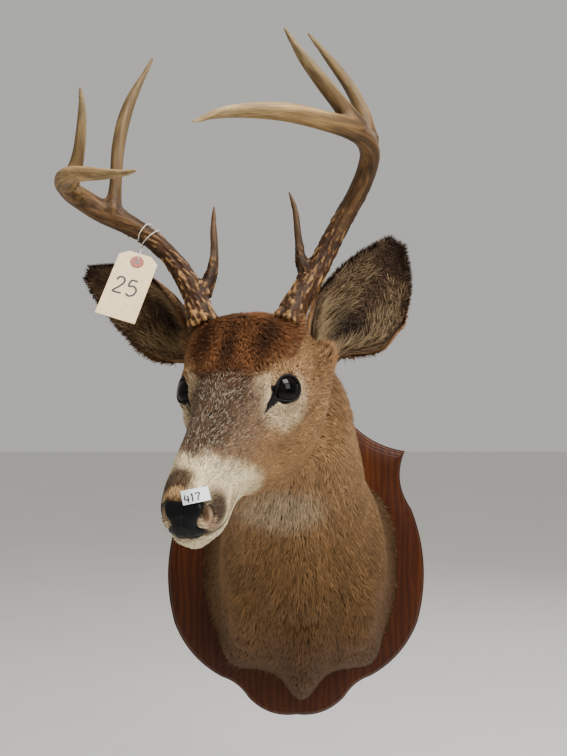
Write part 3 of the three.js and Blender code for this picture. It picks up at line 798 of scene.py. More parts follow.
@dataclass(frozen=True)
class Trunk:
    """Shoulders and neck, from the wall to the back of the head.

    Each station is nape y and z, breast y and z, sideways place, half width, squareness of the
    upper half, and how far the shoulder points and the brisket's keel stand out.
    """

    stations: tuple[tuple[float, ...], ...] = (
        (-20.3, 108, -20.3, -156, 5, 131, 3.2, 15, 38),
        (-40, 114, -60, -150, 5, 122, 2.8, 15, 30),
        (-70, 124, -108, -128, 5, 110, 2.4, 10, 17),
        (-112, 143, -168, -84, 3, 100, 2.2, 5, 6),
        (-162, 172, -214, -24, -3, 83, 2.2, 0, 2),
        (-210, 206, -247, 34, -13, 81, 2.2, 0, 0),
        (-256, 240, -283, 82, -26, 80, 2.2, 0, 0),
        (-298, 264, -306, 119, -39, 79, 2.2, 0, 0),
        (-332, 258, -322, 168, -53, 46, 2.2, 0, 0),
    )
    rings: int = 90
    sides: int = 144
    lower: float = 2.3
    lobe_angle: float = -51.0
    lobe_spread: float = 12.0
    keel_spread: float = 10.0

    def surface(self) -> Body:
        """The trunk's loft: an oval from breast to nape with lobes and keel pushed out."""
        t = np.linspace(0, 1, self.rings)
        table = smooth(np.array(self.stations, float), t)
        nape, breast = table[:, 0:2], table[:, 2:4]
        x, half, square = table[:, 4], table[:, 5], table[:, 6]
        lobe, keel = np.maximum(table[:, 7], 0), np.maximum(table[:, 8], 0)
        tall = np.linalg.norm(nape - breast, axis=1)
        up = (nape - breast) / tall[:, None]
        middle = (nape + breast) / 2
        angle = full_turn(self.sides) + math.pi / 2
        c, n = np.cos(angle)[None], np.sin(angle)[None]
        e = np.where(n > 0, square[:, None], self.lower)
        oval = np.abs(c / half[:, None]) ** e + np.abs(n / (tall / 2)[:, None]) ** e
        below = np.degrees(np.arctan2(n, np.abs(c)))
        push = lobe[:, None] * np.exp(-(((below - self.lobe_angle) / self.lobe_spread) ** 2))
        push = push + keel[:, None] * np.exp(-(((below + 90) / self.keel_spread) ** 2))
        reach = oval ** (-1 / e) + push
        across = x[:, None] + reach * c
        y = middle[:, :1] + up[:, :1] * reach * n
        z = middle[:, 1:] + up[:, 1:] * reach * n
        return closed(np.stack([across, y, z], axis=-1))


HEAD = Head()
TRUNK = Trunk()


# ---------------------------------------------------------------- lines of the antlers


@dataclass(frozen=True)
class Antler:
    """One antler: points with a radius along its beam and its three tines."""

    side: Side
    beam: tuple[tuple[float, ...], ...]
    tines: tuple[tuple[tuple[float, ...], ...], ...]

    def nodes(self) -> list[str]:
        """The CAD nodes that one antler stands for."""
        parts = ("beam_lower", "beam_middle", "beam_end", "brow_tine", "tine_2", "tine_3")
        return [f"antler_{self.side.word}_{part}" for part in parts]


LEFT_ANTLER = Antler(
    Side.LEFT,
    (
        (-25, -379, 275, 18), (-17, -369, 294, 14), (-9, -360, 310, 13), (4, -350, 331, 12),
        (22, -343, 366, 11), (41, -344, 401, 10.8), (55, -356, 429, 10.8),
        (58, -378, 448, 10.5), (49, -402, 456, 10.7), (30, -427, 458, 10.4),
        (5, -448, 458, 9.5), (-27, -471, 457, 8.8), (-60, -490, 452, 7.2),
        (-88, -502, 445, 4.8), (-109, -510, 435, 1),
    ),
    (
        ((-1, -352, 324, 8.2), (-9, -348, 343, 6.4), (-12, -342, 370, 4.6),
         (-15, -335, 400, 3.3), (-21, -331, 420, 1)),
        ((56, -388, 458, 9), (51, -379, 487, 7.9), (39, -366, 519, 6.8),
         (18, -348, 557, 4.7), (-1, -332, 588, 1.2)),
        ((42, -414, 461, 10.5), (23, -427, 481, 8.5), (5, -438, 499, 7.6),
         (-13, -448, 518, 5.4), (-30, -456, 541, 1)),
    ),
)
RIGHT_ANTLER = Antler(
    Side.RIGHT,
    (
        (-107, -356, 275, 18), (-113, -346, 295, 13.6), (-119, -338, 312, 12.4),
        (-129, -328, 331, 11.6), (-145, -318, 353, 10.2), (-168, -309, 375, 10.2),
        (-196, -303, 393, 11.6), (-223, -305, 406, 12.4), (-243, -319, 417, 11.8),
        (-250, -344, 422, 10.8), (-242, -380, 421, 9.5), (-220, -415, 415, 7.8),
        (-194, -448, 406, 5.7), (-174, -470, 401, 3.7), (-159, -488, 399, 1),
    ),
    (
        ((-109, -338, 312, 8.7), (-102, -333, 332, 7), (-99, -328, 356, 5),
         (-100, -321, 383, 3.9), (-100, -314, 408, 1)),
        ((-208, -304, 404, 11), (-206, -301, 430, 7.2), (-204, -295, 478, 7.6),
         (-195, -287, 523, 6.8), (-170, -274, 583, 1.2)),
        ((-243, -356, 420, 9.6), (-234, -365, 444, 7), (-230, -371, 467, 5.8),
         (-228, -376, 490, 4.4), (-229, -381, 511, 1)),
    ),
)


# ---------------------------------------------------------------- string, tag and its number


@dataclass(frozen=True)
class TagOnString:
    """A manila tag on a cotton string that goes twice round the right beam."""

    hole: Triple = (-178.0, -334.0, 344.5)
    down: Triple = (-0.248, -0.44, -0.863)
    across: Triple = (0.957, 0.02, -0.29)
    thickness: float = 0.6
    station: float = 5.05  # place of the turns on the beam's points
    stand_off: float = 1.9
    thick: float = 1.1
    # Angle from the front over the top, place along the beam, and extra lift of each point.
    turns: tuple[Triple, ...] = (
        (-62, -2, 0.4), (-30, -4, 0), (0, -5.5, 0), (40, -6.5, 0), (80, -6, 0), (125, -4, 0),
        (170, 2, 0), (215, 9, 0), (245, 16, 0.3), (268, 19, 0.6), (288, 15, 0.8),
        (294, 8, 0.6), (305, 4, 0.2), (335, 5, 0), (0, 5.5, 0), (40, 6.5, 0), (80, 6, 0),
        (125, 4, 0), (170, 3, 0), (215, 2, 0), (245, 1.5, 0.6),
    )
    knot: float = 1.8
    gap: float = 0.3
    samples: int = 260
    sides: int = 12
    strokes: tuple[tuple[tuple[float, float], ...], ...] = (
        ((-11.5, 12.5), (-10, 15.8), (-6.3, 15.6), (-5.2, 12), (-8, 6.5), (-11.5, 1.2), (-4.5, 1)),
        ((5, 16), (0, 15.5), (-0.5, 9.5), (3, 10.5), (6, 8), (5.5, 3), (2, 0.5), (-1, 2)),
    )
    stroke_width: float = 1.7
    stroke_samples: int = 60
    # The strokes are drawn this much larger, and their foot stands here on the card.
    stroke_scale: float = 1.25
    stroke_foot: tuple[float, float] = (2.0, -42.5)

    def axes(self) -> tuple[Array, Array, Array]:
        """The tag's directions: across, up to its top, and out of its front."""
        up = -unit(np.array(self.down))
        across = np.array(self.across)
        across = unit(across - up * (across @ up))
        return across, up, np.cross(across, up)

    def on_tag(self, points: Array) -> Array:
        """Places tag points (across, up, out) in the row's frame."""
        return np.asarray(points, float) @ np.stack(self.axes()) + np.array(self.hole)

    def route(self) -> Array:
        """The string's points: round the beam, down, and through the tag's hole."""
        beam = np.array(RIGHT_ANTLER.beam)
        t = self.station / (len(beam) - 1)
        near = spline(beam[:, :3], np.array([t - 1e-4, t, t + 1e-4]))
        along = unit(near[2] - near[0])
        front = np.array([0.0, -1.0, 0.0])
        front = unit(front - along * (front @ along))
        up = np.cross(along, front)
        radius = float(smooth(beam[:, 3], np.array([t]))[0])
        angle, shift, lift = np.array(self.turns).T
        reach = (radius + self.stand_off + lift)[:, None]
        wave = np.radians(angle)[:, None]
        round_beam = near[1] + along * shift[:, None]
        round_beam = round_beam + reach * (front * np.cos(wave) + up * np.sin(wave))
        last = self.on_tag([[0, 9, 3.2], [0, 2.2, 2.6], [0, 0.6, 0.4], [0, -0.4, -2]])
        middle = (round_beam[-1] + last[0]) / 2
        return np.vstack([round_beam, middle, last])

    def string(self) -> tuple[bpy.types.Object, Array]:
        """Two plies laid round each other along the route, as one tube with a twisted section."""
        line = spline(self.route(), np.linspace(0, 1, self.samples))
        rings = tube_rings(line, np.ones(len(line)), self.sides)
        lay = full_turn(self.sides)[None] + run_of(line)[:, None] / self.thick * 1.4
        radius = self.thick / 2 * (0.8 + 0.2 * np.abs(np.cos(lay)))
        body = closed(line[:, None] + (rings - line[:, None]) * radius[..., None])
        return add_piece("tag_string_laid", *body, COTTON, "cotton"), line

    def knot_piece(self) -> bpy.types.Object:
        """An overhand knot: a trefoil line, drawn tight, with the same string."""
        first, second = self.route()[:2]
        centre = first + unit(first - second) * (self.knot + 2 * self.gap)
        a = np.linspace(0, 2 * math.pi, 90, endpoint=False)
        x, y = np.sin(a) + 2 * np.sin(2 * a), np.cos(a) - 2 * np.cos(2 * a)
        loop = np.stack([x, y, -np.sin(3 * a)], axis=1)
        size = (self.knot - self.thick / 2) / 3.0
        line = centre + np.vstack([loop, loop[:1]]) * size
        body = closed(tube_rings(line, np.full(len(line), self.thick / 2), 10))
        return add_piece("string_knot_tied", *body, COTTON, "cotton")

    def number(self) -> bpy.types.Object:
        """A plain number in marker pen: each stroke is a flat bar along a curve on the card."""
        bars = []
        for stroke in self.strokes:
            line = spline(np.array(stroke), np.linspace(0, 1, self.stroke_samples))
            along = unit(np.gradient(line, axis=0))
            side = np.stack([-along[:, 1], along[:, 0]], axis=1) * self.stroke_width / 2
            level = np.zeros(len(line))
            middle = np.column_stack([line * self.stroke_scale + self.stroke_foot, level])
            half = np.column_stack([side * self.stroke_scale, level])
            low, high = self.thickness + 0.06, self.thickness + 0.2
            bars.append(self.on_tag(ink_bar(middle, half, np.array([0, 0, 1]), low, high)))
        return add_ink("tag_number", bars, "manila_card")

    def build(self) -> None:
        string, line = self.string()
        knot, number = self.knot_piece(), self.number()
        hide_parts("tag_string")
        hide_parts("string_knot")
        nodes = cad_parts
        for name, finish in (("tag", CARD), ("tag_patch", FIBRE)):
            nodes[name].data.materials.clear()
            nodes[name].data.materials.append(finish)


# ---------------------------------------------------------------- wall board


@dataclass(frozen=True)
class Board:
    """The walnut board: a shaped outline with a routed cove below a small step."""

    thickness: float = 20.0
    edge: float = 13.0
    rim: float = 0.42
    step_depth: float = 3.0
    top: tuple[float, float] = (0.0, 217.0)
    # End point and outward sag of each arc of the right half, from the top down.
    arcs: tuple[Triple, ...] = (
        (62, 197, 4), (150, 140, -12), (158, 61, -11), (166, -93, 13), (101, -166, 9),
        (66, -193, -4), (0, -217, 9),
    )
    arc_steps: int = 26
    cove_steps: int = 10
    hanger: Triple = (60.0, 22.0, 165.0)  # width, height, level
    pocket: float = 3.0

    def outline(self) -> Array:
        """Both halves of the outline, each arc a parabola over its chord."""
        half = [np.array(self.top)]
        for x, z, sag in self.arcs:
            start, end = half[-1], np.array([x, z])
            chord = end - start
            outward = unit(np.array([-chord[1], chord[0]]))
            t = (np.arange(self.arc_steps) + 1) / self.arc_steps
            bow = (sag * 4 * t * (1 - t))[:, None] * outward
            half.extend(start + chord * t[:, None] + bow)
        right = np.array(half)
        return np.vstack([right, right[-2:0:-1] * [-1, 1]])

    def build(self) -> None:
        """Levels of the outline, drawn in by the routed edge, closed by a flat face and back."""
        outline = self.outline()
        reach = outline.max(axis=0)
        rim = self.thickness * self.rim
        angle = np.linspace(0, math.pi / 2, self.cove_steps)
        rise = (self.thickness - rim - self.step_depth) * np.sin(angle)
        cove = np.stack([rim + rise, self.edge * (0.15 + 0.7 * (1 - np.cos(angle)))], axis=1)
        soft = [(0.0, 4.0), (0.0, 1.2), (0.4, 0.4), (1.2, 0.0), (rim - 0.8, 0.0), (rim - 0.1, 0.5)]
        end = self.thickness
        lip = [(end - 0.9, self.edge * 0.86), (end - 0.2, self.edge * 0.95), (end, self.edge)]
        levels = np.vstack([soft, cove, lip])
        shrink = 1 - levels[:, 1, None] / reach[None]
        rings = np.stack(
            [
                outline[None, :, 0] * shrink[:, :1],
                np.broadcast_to(-levels[:, :1], (len(levels), len(outline))),
                outline[None, :, 1] * shrink[:, 1:],
            ],
            axis=-1,
        )
        front = [rings[-1] * [s, 1, s] for s in (0.9, 0.6, 0.3)]
        body = closed(np.concatenate([rings, np.array(front)]))
        board = add_piece("walnut_board", *body, WALNUT, "walnut")
        self.cut_pocket(board)
        board.data.set_sharp_from_angle(angle=math.radians(32))
        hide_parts("wall_board")
        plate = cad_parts["hanger_plate"].data
        plate.materials.clear()
        plate.materials.append(STEEL)

    def cut_pocket(self, board: bpy.types.Object) -> None:
        """Cuts the shallow pocket for the hanger plate out of the back.

        Args:
            board: the board, whose mesh is made anew.
        """
        width, height, level = self.hanger
        x, z, deep = width / 2, height / 2, self.pocket
        sign = np.array([[i, j, k] for i in (-1, 1) for j in (-1, 1) for k in (-1, 1)])
        corners = (sign * [x, deep, z] + [0, 0, level]) * MM
        quads = [(0, 1, 3, 2), (4, 6, 7, 5), (0, 4, 5, 1), (2, 3, 7, 6), (0, 2, 6, 4), (1, 5, 7, 3)]
        mesh = bpy.data.meshes.new("pocket")
        mesh.from_pydata(corners.tolist(), [], quads)
        cutter = add_object("pocket", mesh)
        cut = board.modifiers.new("pocket", "BOOLEAN")
        cut.operation, cut.object, cut.solver = "DIFFERENCE", cutter, "EXACT"
        view = bpy.context.evaluated_depsgraph_get()
        made = bpy.data.meshes.new_from_object(board.evaluated_get(view))
        board.modifiers.clear()
        board.data = made
        bpy.data.objects.remove(cutter)


# ---------------------------------------------------------------- clay


class Clay:
    """A block of space whose cells hold the signed distance to a growing form."""

    def __init__(self, low: Array, high: Array, pitch: float) -> None:
        """Starts empty.

        Args:
            low: lowest corner in millimetres.
            high: highest corner.
            pitch: size of a cell.
        """
        self.low, self.pitch = np.asarray(low, float), pitch
        self.count = tuple(np.ceil((np.asarray(high) - self.low) / pitch).astype(int) + 1)
        self.band = 8 * pitch
        self.value = np.full(self.count, self.band, np.float32)

    def box(self, centre: Array, reach: float) -> tuple[tuple[slice, ...], Array]:
        """The cells within reach of a point: their slices, and their places.

        Args:
            centre: the point.
            reach: how far the block goes from it.
        Returns:
            A slice for each axis, and the cells' places.
        """
        first = np.floor((np.asarray(centre) - reach - self.low) / self.pitch).astype(int)
        last = np.ceil((np.asarray(centre) + reach - self.low) / self.pitch).astype(int) + 1
        first = np.clip(first, 0, self.count)
        last = np.clip(last, 0, self.count)
        axes = [np.arange(a, b) * self.pitch + o for a, b, o in zip(first, last, self.low)]
        cells = np.stack(np.meshgrid(*axes, indexing="ij"), axis=-1)
        return tuple(slice(a, b) for a, b in zip(first, last)), cells

    def add_body(self, points: Array, faces: list[Array], blend: float) -> None:
        """Joins a closed body, rounding the join.

        The smaller distance is kept, less a quarter of h squared times the blend, where h
        falls from 1 where both are equal to 0 where they differ by the blend.

        Args:
            points: its points.
            faces: its faces.
            blend: how far the join is rounded.
        """
        quads = [f for f in faces if f.shape[1] == 4]
        thirds = [f for f in faces if f.shape[1] == 3]
        grid = vdb.FloatGrid.createLevelSetFromPolygons(
            ((points - self.low) / self.pitch).astype(np.float32),
            triangles=np.vstack(thirds).astype(np.uint32) if thirds else None,
            quads=np.vstack(quads).astype(np.uint32) if quads else None,
            transform=vdb.createLinearTransform(1.0),
            halfWidth=8.0,
        )
        own = np.empty(self.count, np.float32)
        grid.copyToArray(own)
        self.join((slice(None),) * 3, own * self.pitch, blend)

    def join(self, part: tuple[slice, ...], own: Array, blend: float) -> None:
        """Joins distances given for some of the cells.

        Args:
            part: the cells' slices.
            own: the distance at each of them.
            blend: how far the join is rounded.
        """
        old = self.value[part]
        h = np.maximum(blend - np.abs(old - own), 0) / blend
        self.value[part] = np.minimum(old, own) - h * h * blend / 4

    def bar(self, start: Array, end: Array, radii: tuple[float, float], blend: float) -> None:
        """Joins a bar with round ends and its own radius at each end.

        Args:
            start: middle of one end.
            end: middle of the other.
            radii: radius at each.
            blend: how far the join is rounded.
        """
        start, end = np.asarray(start, float), np.asarray(end, float)
        reach = np.linalg.norm(end - start) / 2 + max(radii) + self.band
        part, cells = self.box((start + end) / 2, reach)
        gap, t = from_segment(cells, start, end)
        away = np.linalg.norm(gap, axis=-1)
        self.join(part, away - (radii[0] + t * (radii[1] - radii[0])), blend)

    def egg(
        self, centre: Array, axes: Array, size: Array, blend: float, carve: bool = False
    ) -> None:
        """Joins or carves an ellipsoid; its distance is k0 (k0 - 1) / k1.

        k0 is the length of the place divided by the sizes, and k1 of that divided by them
        once more.

        Args:
            centre: its middle.
            axes: its three directions, as rows.
            size: its half lengths along them.
            blend: how far the join is rounded.
            carve: whether it is taken away.
        """
        size = np.asarray(size, float)
        part, cells = self.box(centre, float(size.max()) + self.band)
        local = (cells - centre) @ np.asarray(axes).T
        k0 = np.linalg.norm(local / size, axis=-1)
        k1 = np.linalg.norm(local / size**2, axis=-1)
        own = k0 * (k0 - 1) / np.maximum(k1, 1e-6)
        way = -1 if carve else 1
        self.value[part] *= way
        self.join(part, own, blend)
        self.value[part] *= way

    def press(self, centre: Array, axes: Array, size: Array, rise: float) -> None:
        """Raises, or with a minus sinks, the surface by a bell-shaped amount.

        Args:
            centre: the bell's middle.
            axes: its directions, as rows.
            size: how wide it is along them.
            rise: its height.
        """
        part, cells = self.box(centre, 3 * float(np.max(size)))
        local = (cells - centre) @ np.asarray(axes).T / np.asarray(size, float)
        self.value[part] -= rise * np.exp(-(local**2).sum(axis=-1))

    def groove(self, path: Array, width: float, rise: float) -> None:
        """Raises, or with a minus sinks, the surface along a path, bell-shaped across it.

        Args:
            path: points of the path.
            width: of the bell.
            rise: its height.
        """
        centre = (path.max(axis=0) + path.min(axis=0)) / 2
        part, cells = self.box(centre, np.abs(path - centre).max() + 3 * width)
        near = np.full(cells.shape[:-1], np.inf)
        for a, b in zip(path[:-1], path[1:]):
            near = np.minimum(near, (from_segment(cells, a, b)[0] ** 2).sum(axis=-1))
        self.value[part] -= rise * np.exp(-near / width**2)

    def read(self, points: Array) -> Array:
        """The distance at any points, from the eight cells around each.

        Args:
            points: where to read it.
        Returns:
            A distance for each.
        """
        place = np.clip((points - self.low) / self.pitch, 0, np.array(self.count) - 1.001)
        low = place.astype(int)
        s = place - low
        total = np.zeros(len(points))
        for bit in CELL:
            i, j, k = (low + bit).T
            total += np.prod(np.where(bit, s, 1 - s), axis=1) * self.value[i, j, k]
        return total

    def slope(self, points: Array) -> Array:
        """The outward direction at any points, from differences one cell either way.

        Args:
            points: where to read it.
        Returns:
            A direction for each.
        """
        ways = np.eye(3) * self.pitch
        parts = [self.read(points + way) - self.read(points - way) for way in ways]
        return unit(np.stack(parts, axis=1))

    def snap(self, points: Array) -> Array:
        """Moves points straight on to the surface, in a few steps.

        Args:
            points: the points.
        Returns:
            Where they come to lie.
        """
        points = np.array(points, float)
        for _ in range(8):
            points -= self.read(points)[:, None] * self.slope(points)
        return points

    def surface(self, merge: float = 0.0) -> Body:
        """The surface where the distance is 0, with near-flat faces merged by a share.

        Args:
            merge: from 0, for no face merged, to 1.
        Returns:
            The closed body.
        """
        grid = vdb.FloatGrid(self.band)
        grid.copyFromArray(self.value)
        grid.gridClass = vdb.GridClass.LEVEL_SET
        points, triangles, quads = grid.convertToPolygons(isovalue=0.0, adaptivity=merge)
        points = points.astype(float) * self.pitch + self.low
        faces = [f.astype(np.int64) for f in (quads, triangles) if len(f)]
        return points, turned_out(points, faces)


def point_normals(points: Array, faces: list[Array]) -> Array:
    """Outward direction at each point: the sum of its faces' area vectors, made unit.

    Args:
        points: the body's points.
        faces: its faces.
    Returns:
        A direction for each point.
    """
    total = np.zeros_like(points)
    for face in faces:
        a, b, c = points[face[:, 0]], points[face[:, 1]], points[face[:, 2]]
        area = np.cross(b - a, c - a)
        if face.shape[1] == 4:
            area = area + np.cross(c - a, points[face[:, 3]] - a)
        for k in range(face.shape[1]):
            for axis in range(3):
                total[:, axis] += np.bincount(face[:, k], area[:, axis], len(points))
    return unit(total)


# ---------------------------------------------------------------- antlers


@dataclass(frozen=True)
class AntlerPiece:
    """One antler in one skin: grooved beam, pearled foot with its burr, and polished tines."""

    antler: Antler
    pitch: float = 1.15
    blend: float = 7.0
    inset: float = 0.5  # room for pearls inside the solids
    foot: float = 15.5  # radius under the burr's beads
    margin: float = 16.0
    sides: int = 24
    block: int = 4000  # points that are compared with the lines at a time

    def lines(self) -> list[Array]:
        """Beam and tines as dense points with their radius."""
        made = []
        for bar in (self.antler.beam, *self.antler.tines):
            t = np.linspace(0, 1, 120 if bar is self.antler.beam else 50)
            table = np.array(bar, float)
            radius = np.maximum(smooth(np.minimum(table[:, 3], self.foot), t), 0.9)
            made.append(np.column_stack([spline(table[:, :3], t), radius]))
        return made

    def build(self) -> None:
        """Joins the bars, then raises pearls and ridges and stains the surface."""
        lines = self.lines()
        every = np.vstack(lines)
        low, high = every[:, :3].min(axis=0), every[:, :3].max(axis=0)
        clay = Clay(low - self.margin, high + self.margin, self.pitch)
        for line in lines:
            radii = line[:, 3] - self.inset * (line[:, 3] > 3)
            clay.add_body(*closed(tube_rings(line[:, :3], radii, self.sides)), self.blend)
        points, faces = clay.surface()
        normals = point_normals(points, faces)
        near = np.empty(len(points), int)
        for k in range(0, len(points), self.block):  # to keep the table of gaps small
            some = slice(k, k + self.block)
            gaps = ((points[some, None] - every[None, :, :3]) ** 2).sum(axis=-1)
            near[some] = gaps.argmin(axis=1)
        beam = lines[0][:, :3]
        runs = [run_of(line[:, :3]) for line in lines]
        places = [runs[0] / runs[0][-1]]
        for k, line in enumerate(lines[1:]):
            root = ((beam - line[0, :3]) ** 2).sum(axis=1).argmin()
            places.append(places[0][root] + np.linspace(0, 1, len(line)) * (0.5 if k == 0 else 0.55))
        share = np.concatenate(places)[near]
        own = [0 * places[0]] + [np.linspace(0, 1, len(line)) for line in lines[1:]]
        on_tine = step(0.0, 0.22, np.concatenate(own)[near])
        radius = every[near, 3]
        from_foot = np.linalg.norm(points - every[0, :3], axis=1)
        tangent = unit(np.vstack([np.gradient(line[:, :3], axis=0) for line in lines]))[near]
        # Noise is read where the way along the bar is squeezed, so it runs with the bar.
        gap = points - every[near, :3]
        ahead = (gap * tangent).sum(axis=1)
        along = (np.concatenate(runs)[near] + ahead)[:, None] * np.array([0.48, 0.6, 0.64])
        across = gap - ahead[:, None] * tangent
        run = across + 0.07 * along
        pearls = step(-0.1, 0.8, grain(across + 0.3 * along, 2.0, 3))
        pearls = pearls + 0.5 * grain(across + 0.4 * along, 1.4, 5)
        ridges = grain(run, 2.6, 7) + 0.6 * grain(run, 5.5, 8)
        rough = 1 - step(0.24, 0.5, share)
        relief = rough * (pearls * 1.1 + 0.35 * ridges)
        rise = relief + (0.25 + 0.75 * (1 - step(0.45, 0.9, share))) * ridges * 0.6
        burr = np.exp(-(((from_foot - 17) / 6.0) ** 2))
        beads = burr * np.maximum(grain(points, 4.0, 11), -0.3)
        rise = rise + burr * 0.6 + 2.0 * beads
        rise = rise * step(1.5, 6.0, radius)
        points = points + normals * rise[:, None]
        # Stain: dark in the hollows, orange tan on the pearls, tan bone where it is rubbed.
        hollow, pearl, mid, ivory, tip = (
            linear(c) for c in ("38210f", "b08350", "573e24", "8c7048", "a08860")
        )
        height = step(0.15, 1.5, relief + beads + 0.3 * grain(points, 1.4, 13))
        streak = step(-0.9, 0.9, ridges)[:, None]
        toward_mid = step(0.2, 0.48, share + 0.06 * grain(points, 18.0, 17))
        toward_ivory = step(0.5, 0.82, share + 0.08 * grain(points, 22.0, 19))
        colour = toward(hollow, pearl, height)
        colour = toward(colour, mid * (0.5 + 1.1 * streak), toward_mid)
        colour = toward(colour, ivory * (0.66 + 0.56 * streak), toward_ivory)
        colour = toward(colour, tip * (0.78 + 0.34 * streak), step(0.8, 1.1, share))
        # Painted light: the beam's upper end, which faces up to the lamps, is painted lighter, and the
        # upright tines are painted darker as shade.
        colour *= (1 + 0.3 * toward_ivory * (1 - on_tine) - 0.36 * on_tine)[:, None]
        name = f"antler_{self.antler.side.word}"
        piece = add_piece(name, points, faces, BONE, "antler", colour=colour)
        layer = piece.data.attributes.new("run", "FLOAT_VECTOR", "POINT")
        layer.data.foreach_set("vector", (run * MM).astype(np.float32).ravel())
        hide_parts(*self.antler.nodes())


# ---------------------------------------------------------------- ears


@dataclass(frozen=True)
class Ear:
    """One ear: a cupped sheet, nearly closed at its root and open along its front."""

    side: Side
    root: Triple
    tip: Triple
    bow: Triple  # how far the middle of its line is bent aside
    open: Triple  # the way that the cup opens
    widths: tuple[float, ...] = (25, 40, 50, 50, 45, 36, 23, 5)
    cups: tuple[float, ...] = (120, 98, 74, 60, 51, 45, 40, 35)
    thickness: tuple[float, ...] = (9, 7, 5, 4, 3.5, 3, 2.5, 2)
    inner_hair: float = 1.0  # room left for the hair on either face
    outer_hair: float = 0.8
    notch: float = 0.0  # share of the lower edge left out above the root
    rows: int = 64
    columns: int = 48

    def axes(self) -> tuple[Array, Array, Array]:
        """Root to tip in full length, the way that the cup opens, and across it."""
        along = np.array(self.tip, float) - np.array(self.root)
        facing = np.array(self.open, float)
        facing = unit(facing - unit(along) * (facing @ unit(along)))
        return along, facing, unit(np.cross(unit(along), facing))

    def sheet(self, u: Array, v: Array, depth: Array) -> Array:
        """Places points of the ear.

        Args:
            u: from 0 at the root to 1 at the tip.
            v: from -1 to 1 across.
            depth: from 0 at the inner skin to 1 at the outer.
        Returns:
            Points in the row's frame.
        """
        along, facing, side = self.axes()
        half, cup = smooth(self.widths, u), np.radians(smooth(self.cups, u))
        thick = smooth(self.thickness, u)
        own = np.maximum(thick - self.inner_hair - self.outer_hair, 0.7)
        radius = half / cup + self.inner_hair + depth * own
        # Low ribs run from the root to the tip, and the rim is notched by slow waves.
        ribs = 0.5 * np.cos(v * 15 + 2 * u) * step(0.05, 0.3, u) * (1 - step(0.7, 0.95, u))
        rim = step(0.75, 1.0, np.abs(v))
        radius = radius + ribs + 0.9 * rim * np.sin(u * 23 + v * 2)
        lower = np.where(v > 0, 1 - self.notch * (1 - step(0.1, 0.34, u)), 1.0)
        swing = cup * v * lower * (0.985 - 0.012 * np.sin(u * 31 + v))
        spine = np.array(self.root) + np.multiply.outer(u, along)
        spine = spine + np.multiply.outer(np.sin(math.pi * u), self.bow)
        spine = spine + facing * (half / cup)[..., None]
        spread = side * (radius * np.sin(swing))[..., None]
        return spine + spread - facing * (radius * np.cos(swing))[..., None]

    def shell(self) -> tuple[Array, list[Array], Array, Array, Array]:
        """Closed rings round the sheet: points, faces, and u, v and depth of each point."""
        u = np.linspace(0.0, 1.0, self.rows) ** 0.9
        v = np.linspace(-1, 1, self.columns)
        around = np.concatenate([v, [1.012], v[::-1], [-1.012]])
        depth = np.concatenate([np.zeros(len(v)), [0.5], np.ones(len(v)), [0.5]])
        uu = np.repeat(u[:, None], len(around), axis=1)
        vv, dd = np.broadcast_to(around, uu.shape), np.broadcast_to(depth, uu.shape)
        points, faces = closed(self.sheet(uu, vv, dd))
        ends = [np.append(a.ravel(), b) for a, b in ((uu, (0, 1)), (vv, (0, 0)), (dd, (1, 1)))]
        return points, faces, *ends


EARS = (
    Ear(Side.LEFT, (10, -340, 238), (88, -352, 363), (8, 12, -2), (-0.2, -1, -0.05), notch=0.8),
    Ear(Side.RIGHT, (-110, -293, 264), (-235, -294, 340), (2, 8, 9), (-0.65, -0.7, -0.35)),
)


# ---------------------------------------------------------------- markings


@dataclass(frozen=True)
class Mark:
    """A soft-edged patch of colour, an egg in the head's frame."""

    centre: Triple
    size: Triple
    colour: str
    strength: float = 1.0
    soft: float = 0.25
    both: bool = False  # whether the other side has it too

    def share(self, head: Array, wobble: Array | float = 0.0) -> Array:
        """How much of it there is at each point, from 0 to 1.

        Args:
            head: points in the frame that the centre is in.
            wobble: what is added to how far away each is, to make the edge uneven.
        Returns:
            The strength within the egg, falling smoothly to 0 over its soft edge.
        """
        place = head.copy()
        if self.both:
            place[:, 1] = np.abs(place[:, 1])
        away = np.linalg.norm((place - self.centre) / self.size, axis=1) + wobble
        return self.strength * (1 - step(1 - self.soft, 1 + self.soft, away))


CROWN = Mark((-40, 2, 52), (76, 56, 40), "74492a", 1.0, 0.28)
FACE_MARKS = (
    # Temple and foot of the ear: brown hair, darkened further as painted shade by the ear.
    Mark((-45, 58, 5), (50, 30, 40), "8f6b48", 0.8, 0.5, True),  # temple
    Mark((-72, 62, -6), (34, 26, 34), "7c5a3a", 0.7, 0.6, True),  # foot of the ear
    Mark((-40, 58, -60), (60, 34, 44), "a07a50", 0.7, 0.5, True),  # jowl
    Mark((76, 0, 32), (86, 40, 27), "4e3a2b", 0.95, 0.35),  # forehead and bridge
    Mark((84, 29, 4), (64, 15, 24), "7c614b", 0.75, 0.6, True),  # side of the bridge
    CROWN,
    Mark((4, -2, 54), (40, 7, 20), "24130a", 0.75, 0.7),  # dark middle of the crown
    Mark((-18, 27, 54), (34, 9, 16), "2a150a", 0.75, 0.7, True),
    Mark((28, 6, 44), (20, 9, 14), "4a2c18", 0.6, 0.8),
    Mark((15, 45, -2), (31, 27, 23), "d4bd98", 0.85, 0.35, True),  # pale ring of the eye
    Mark((28, 34, 26), (16, 9, 9), "cdb692", 0.5, 0.5, True),
)
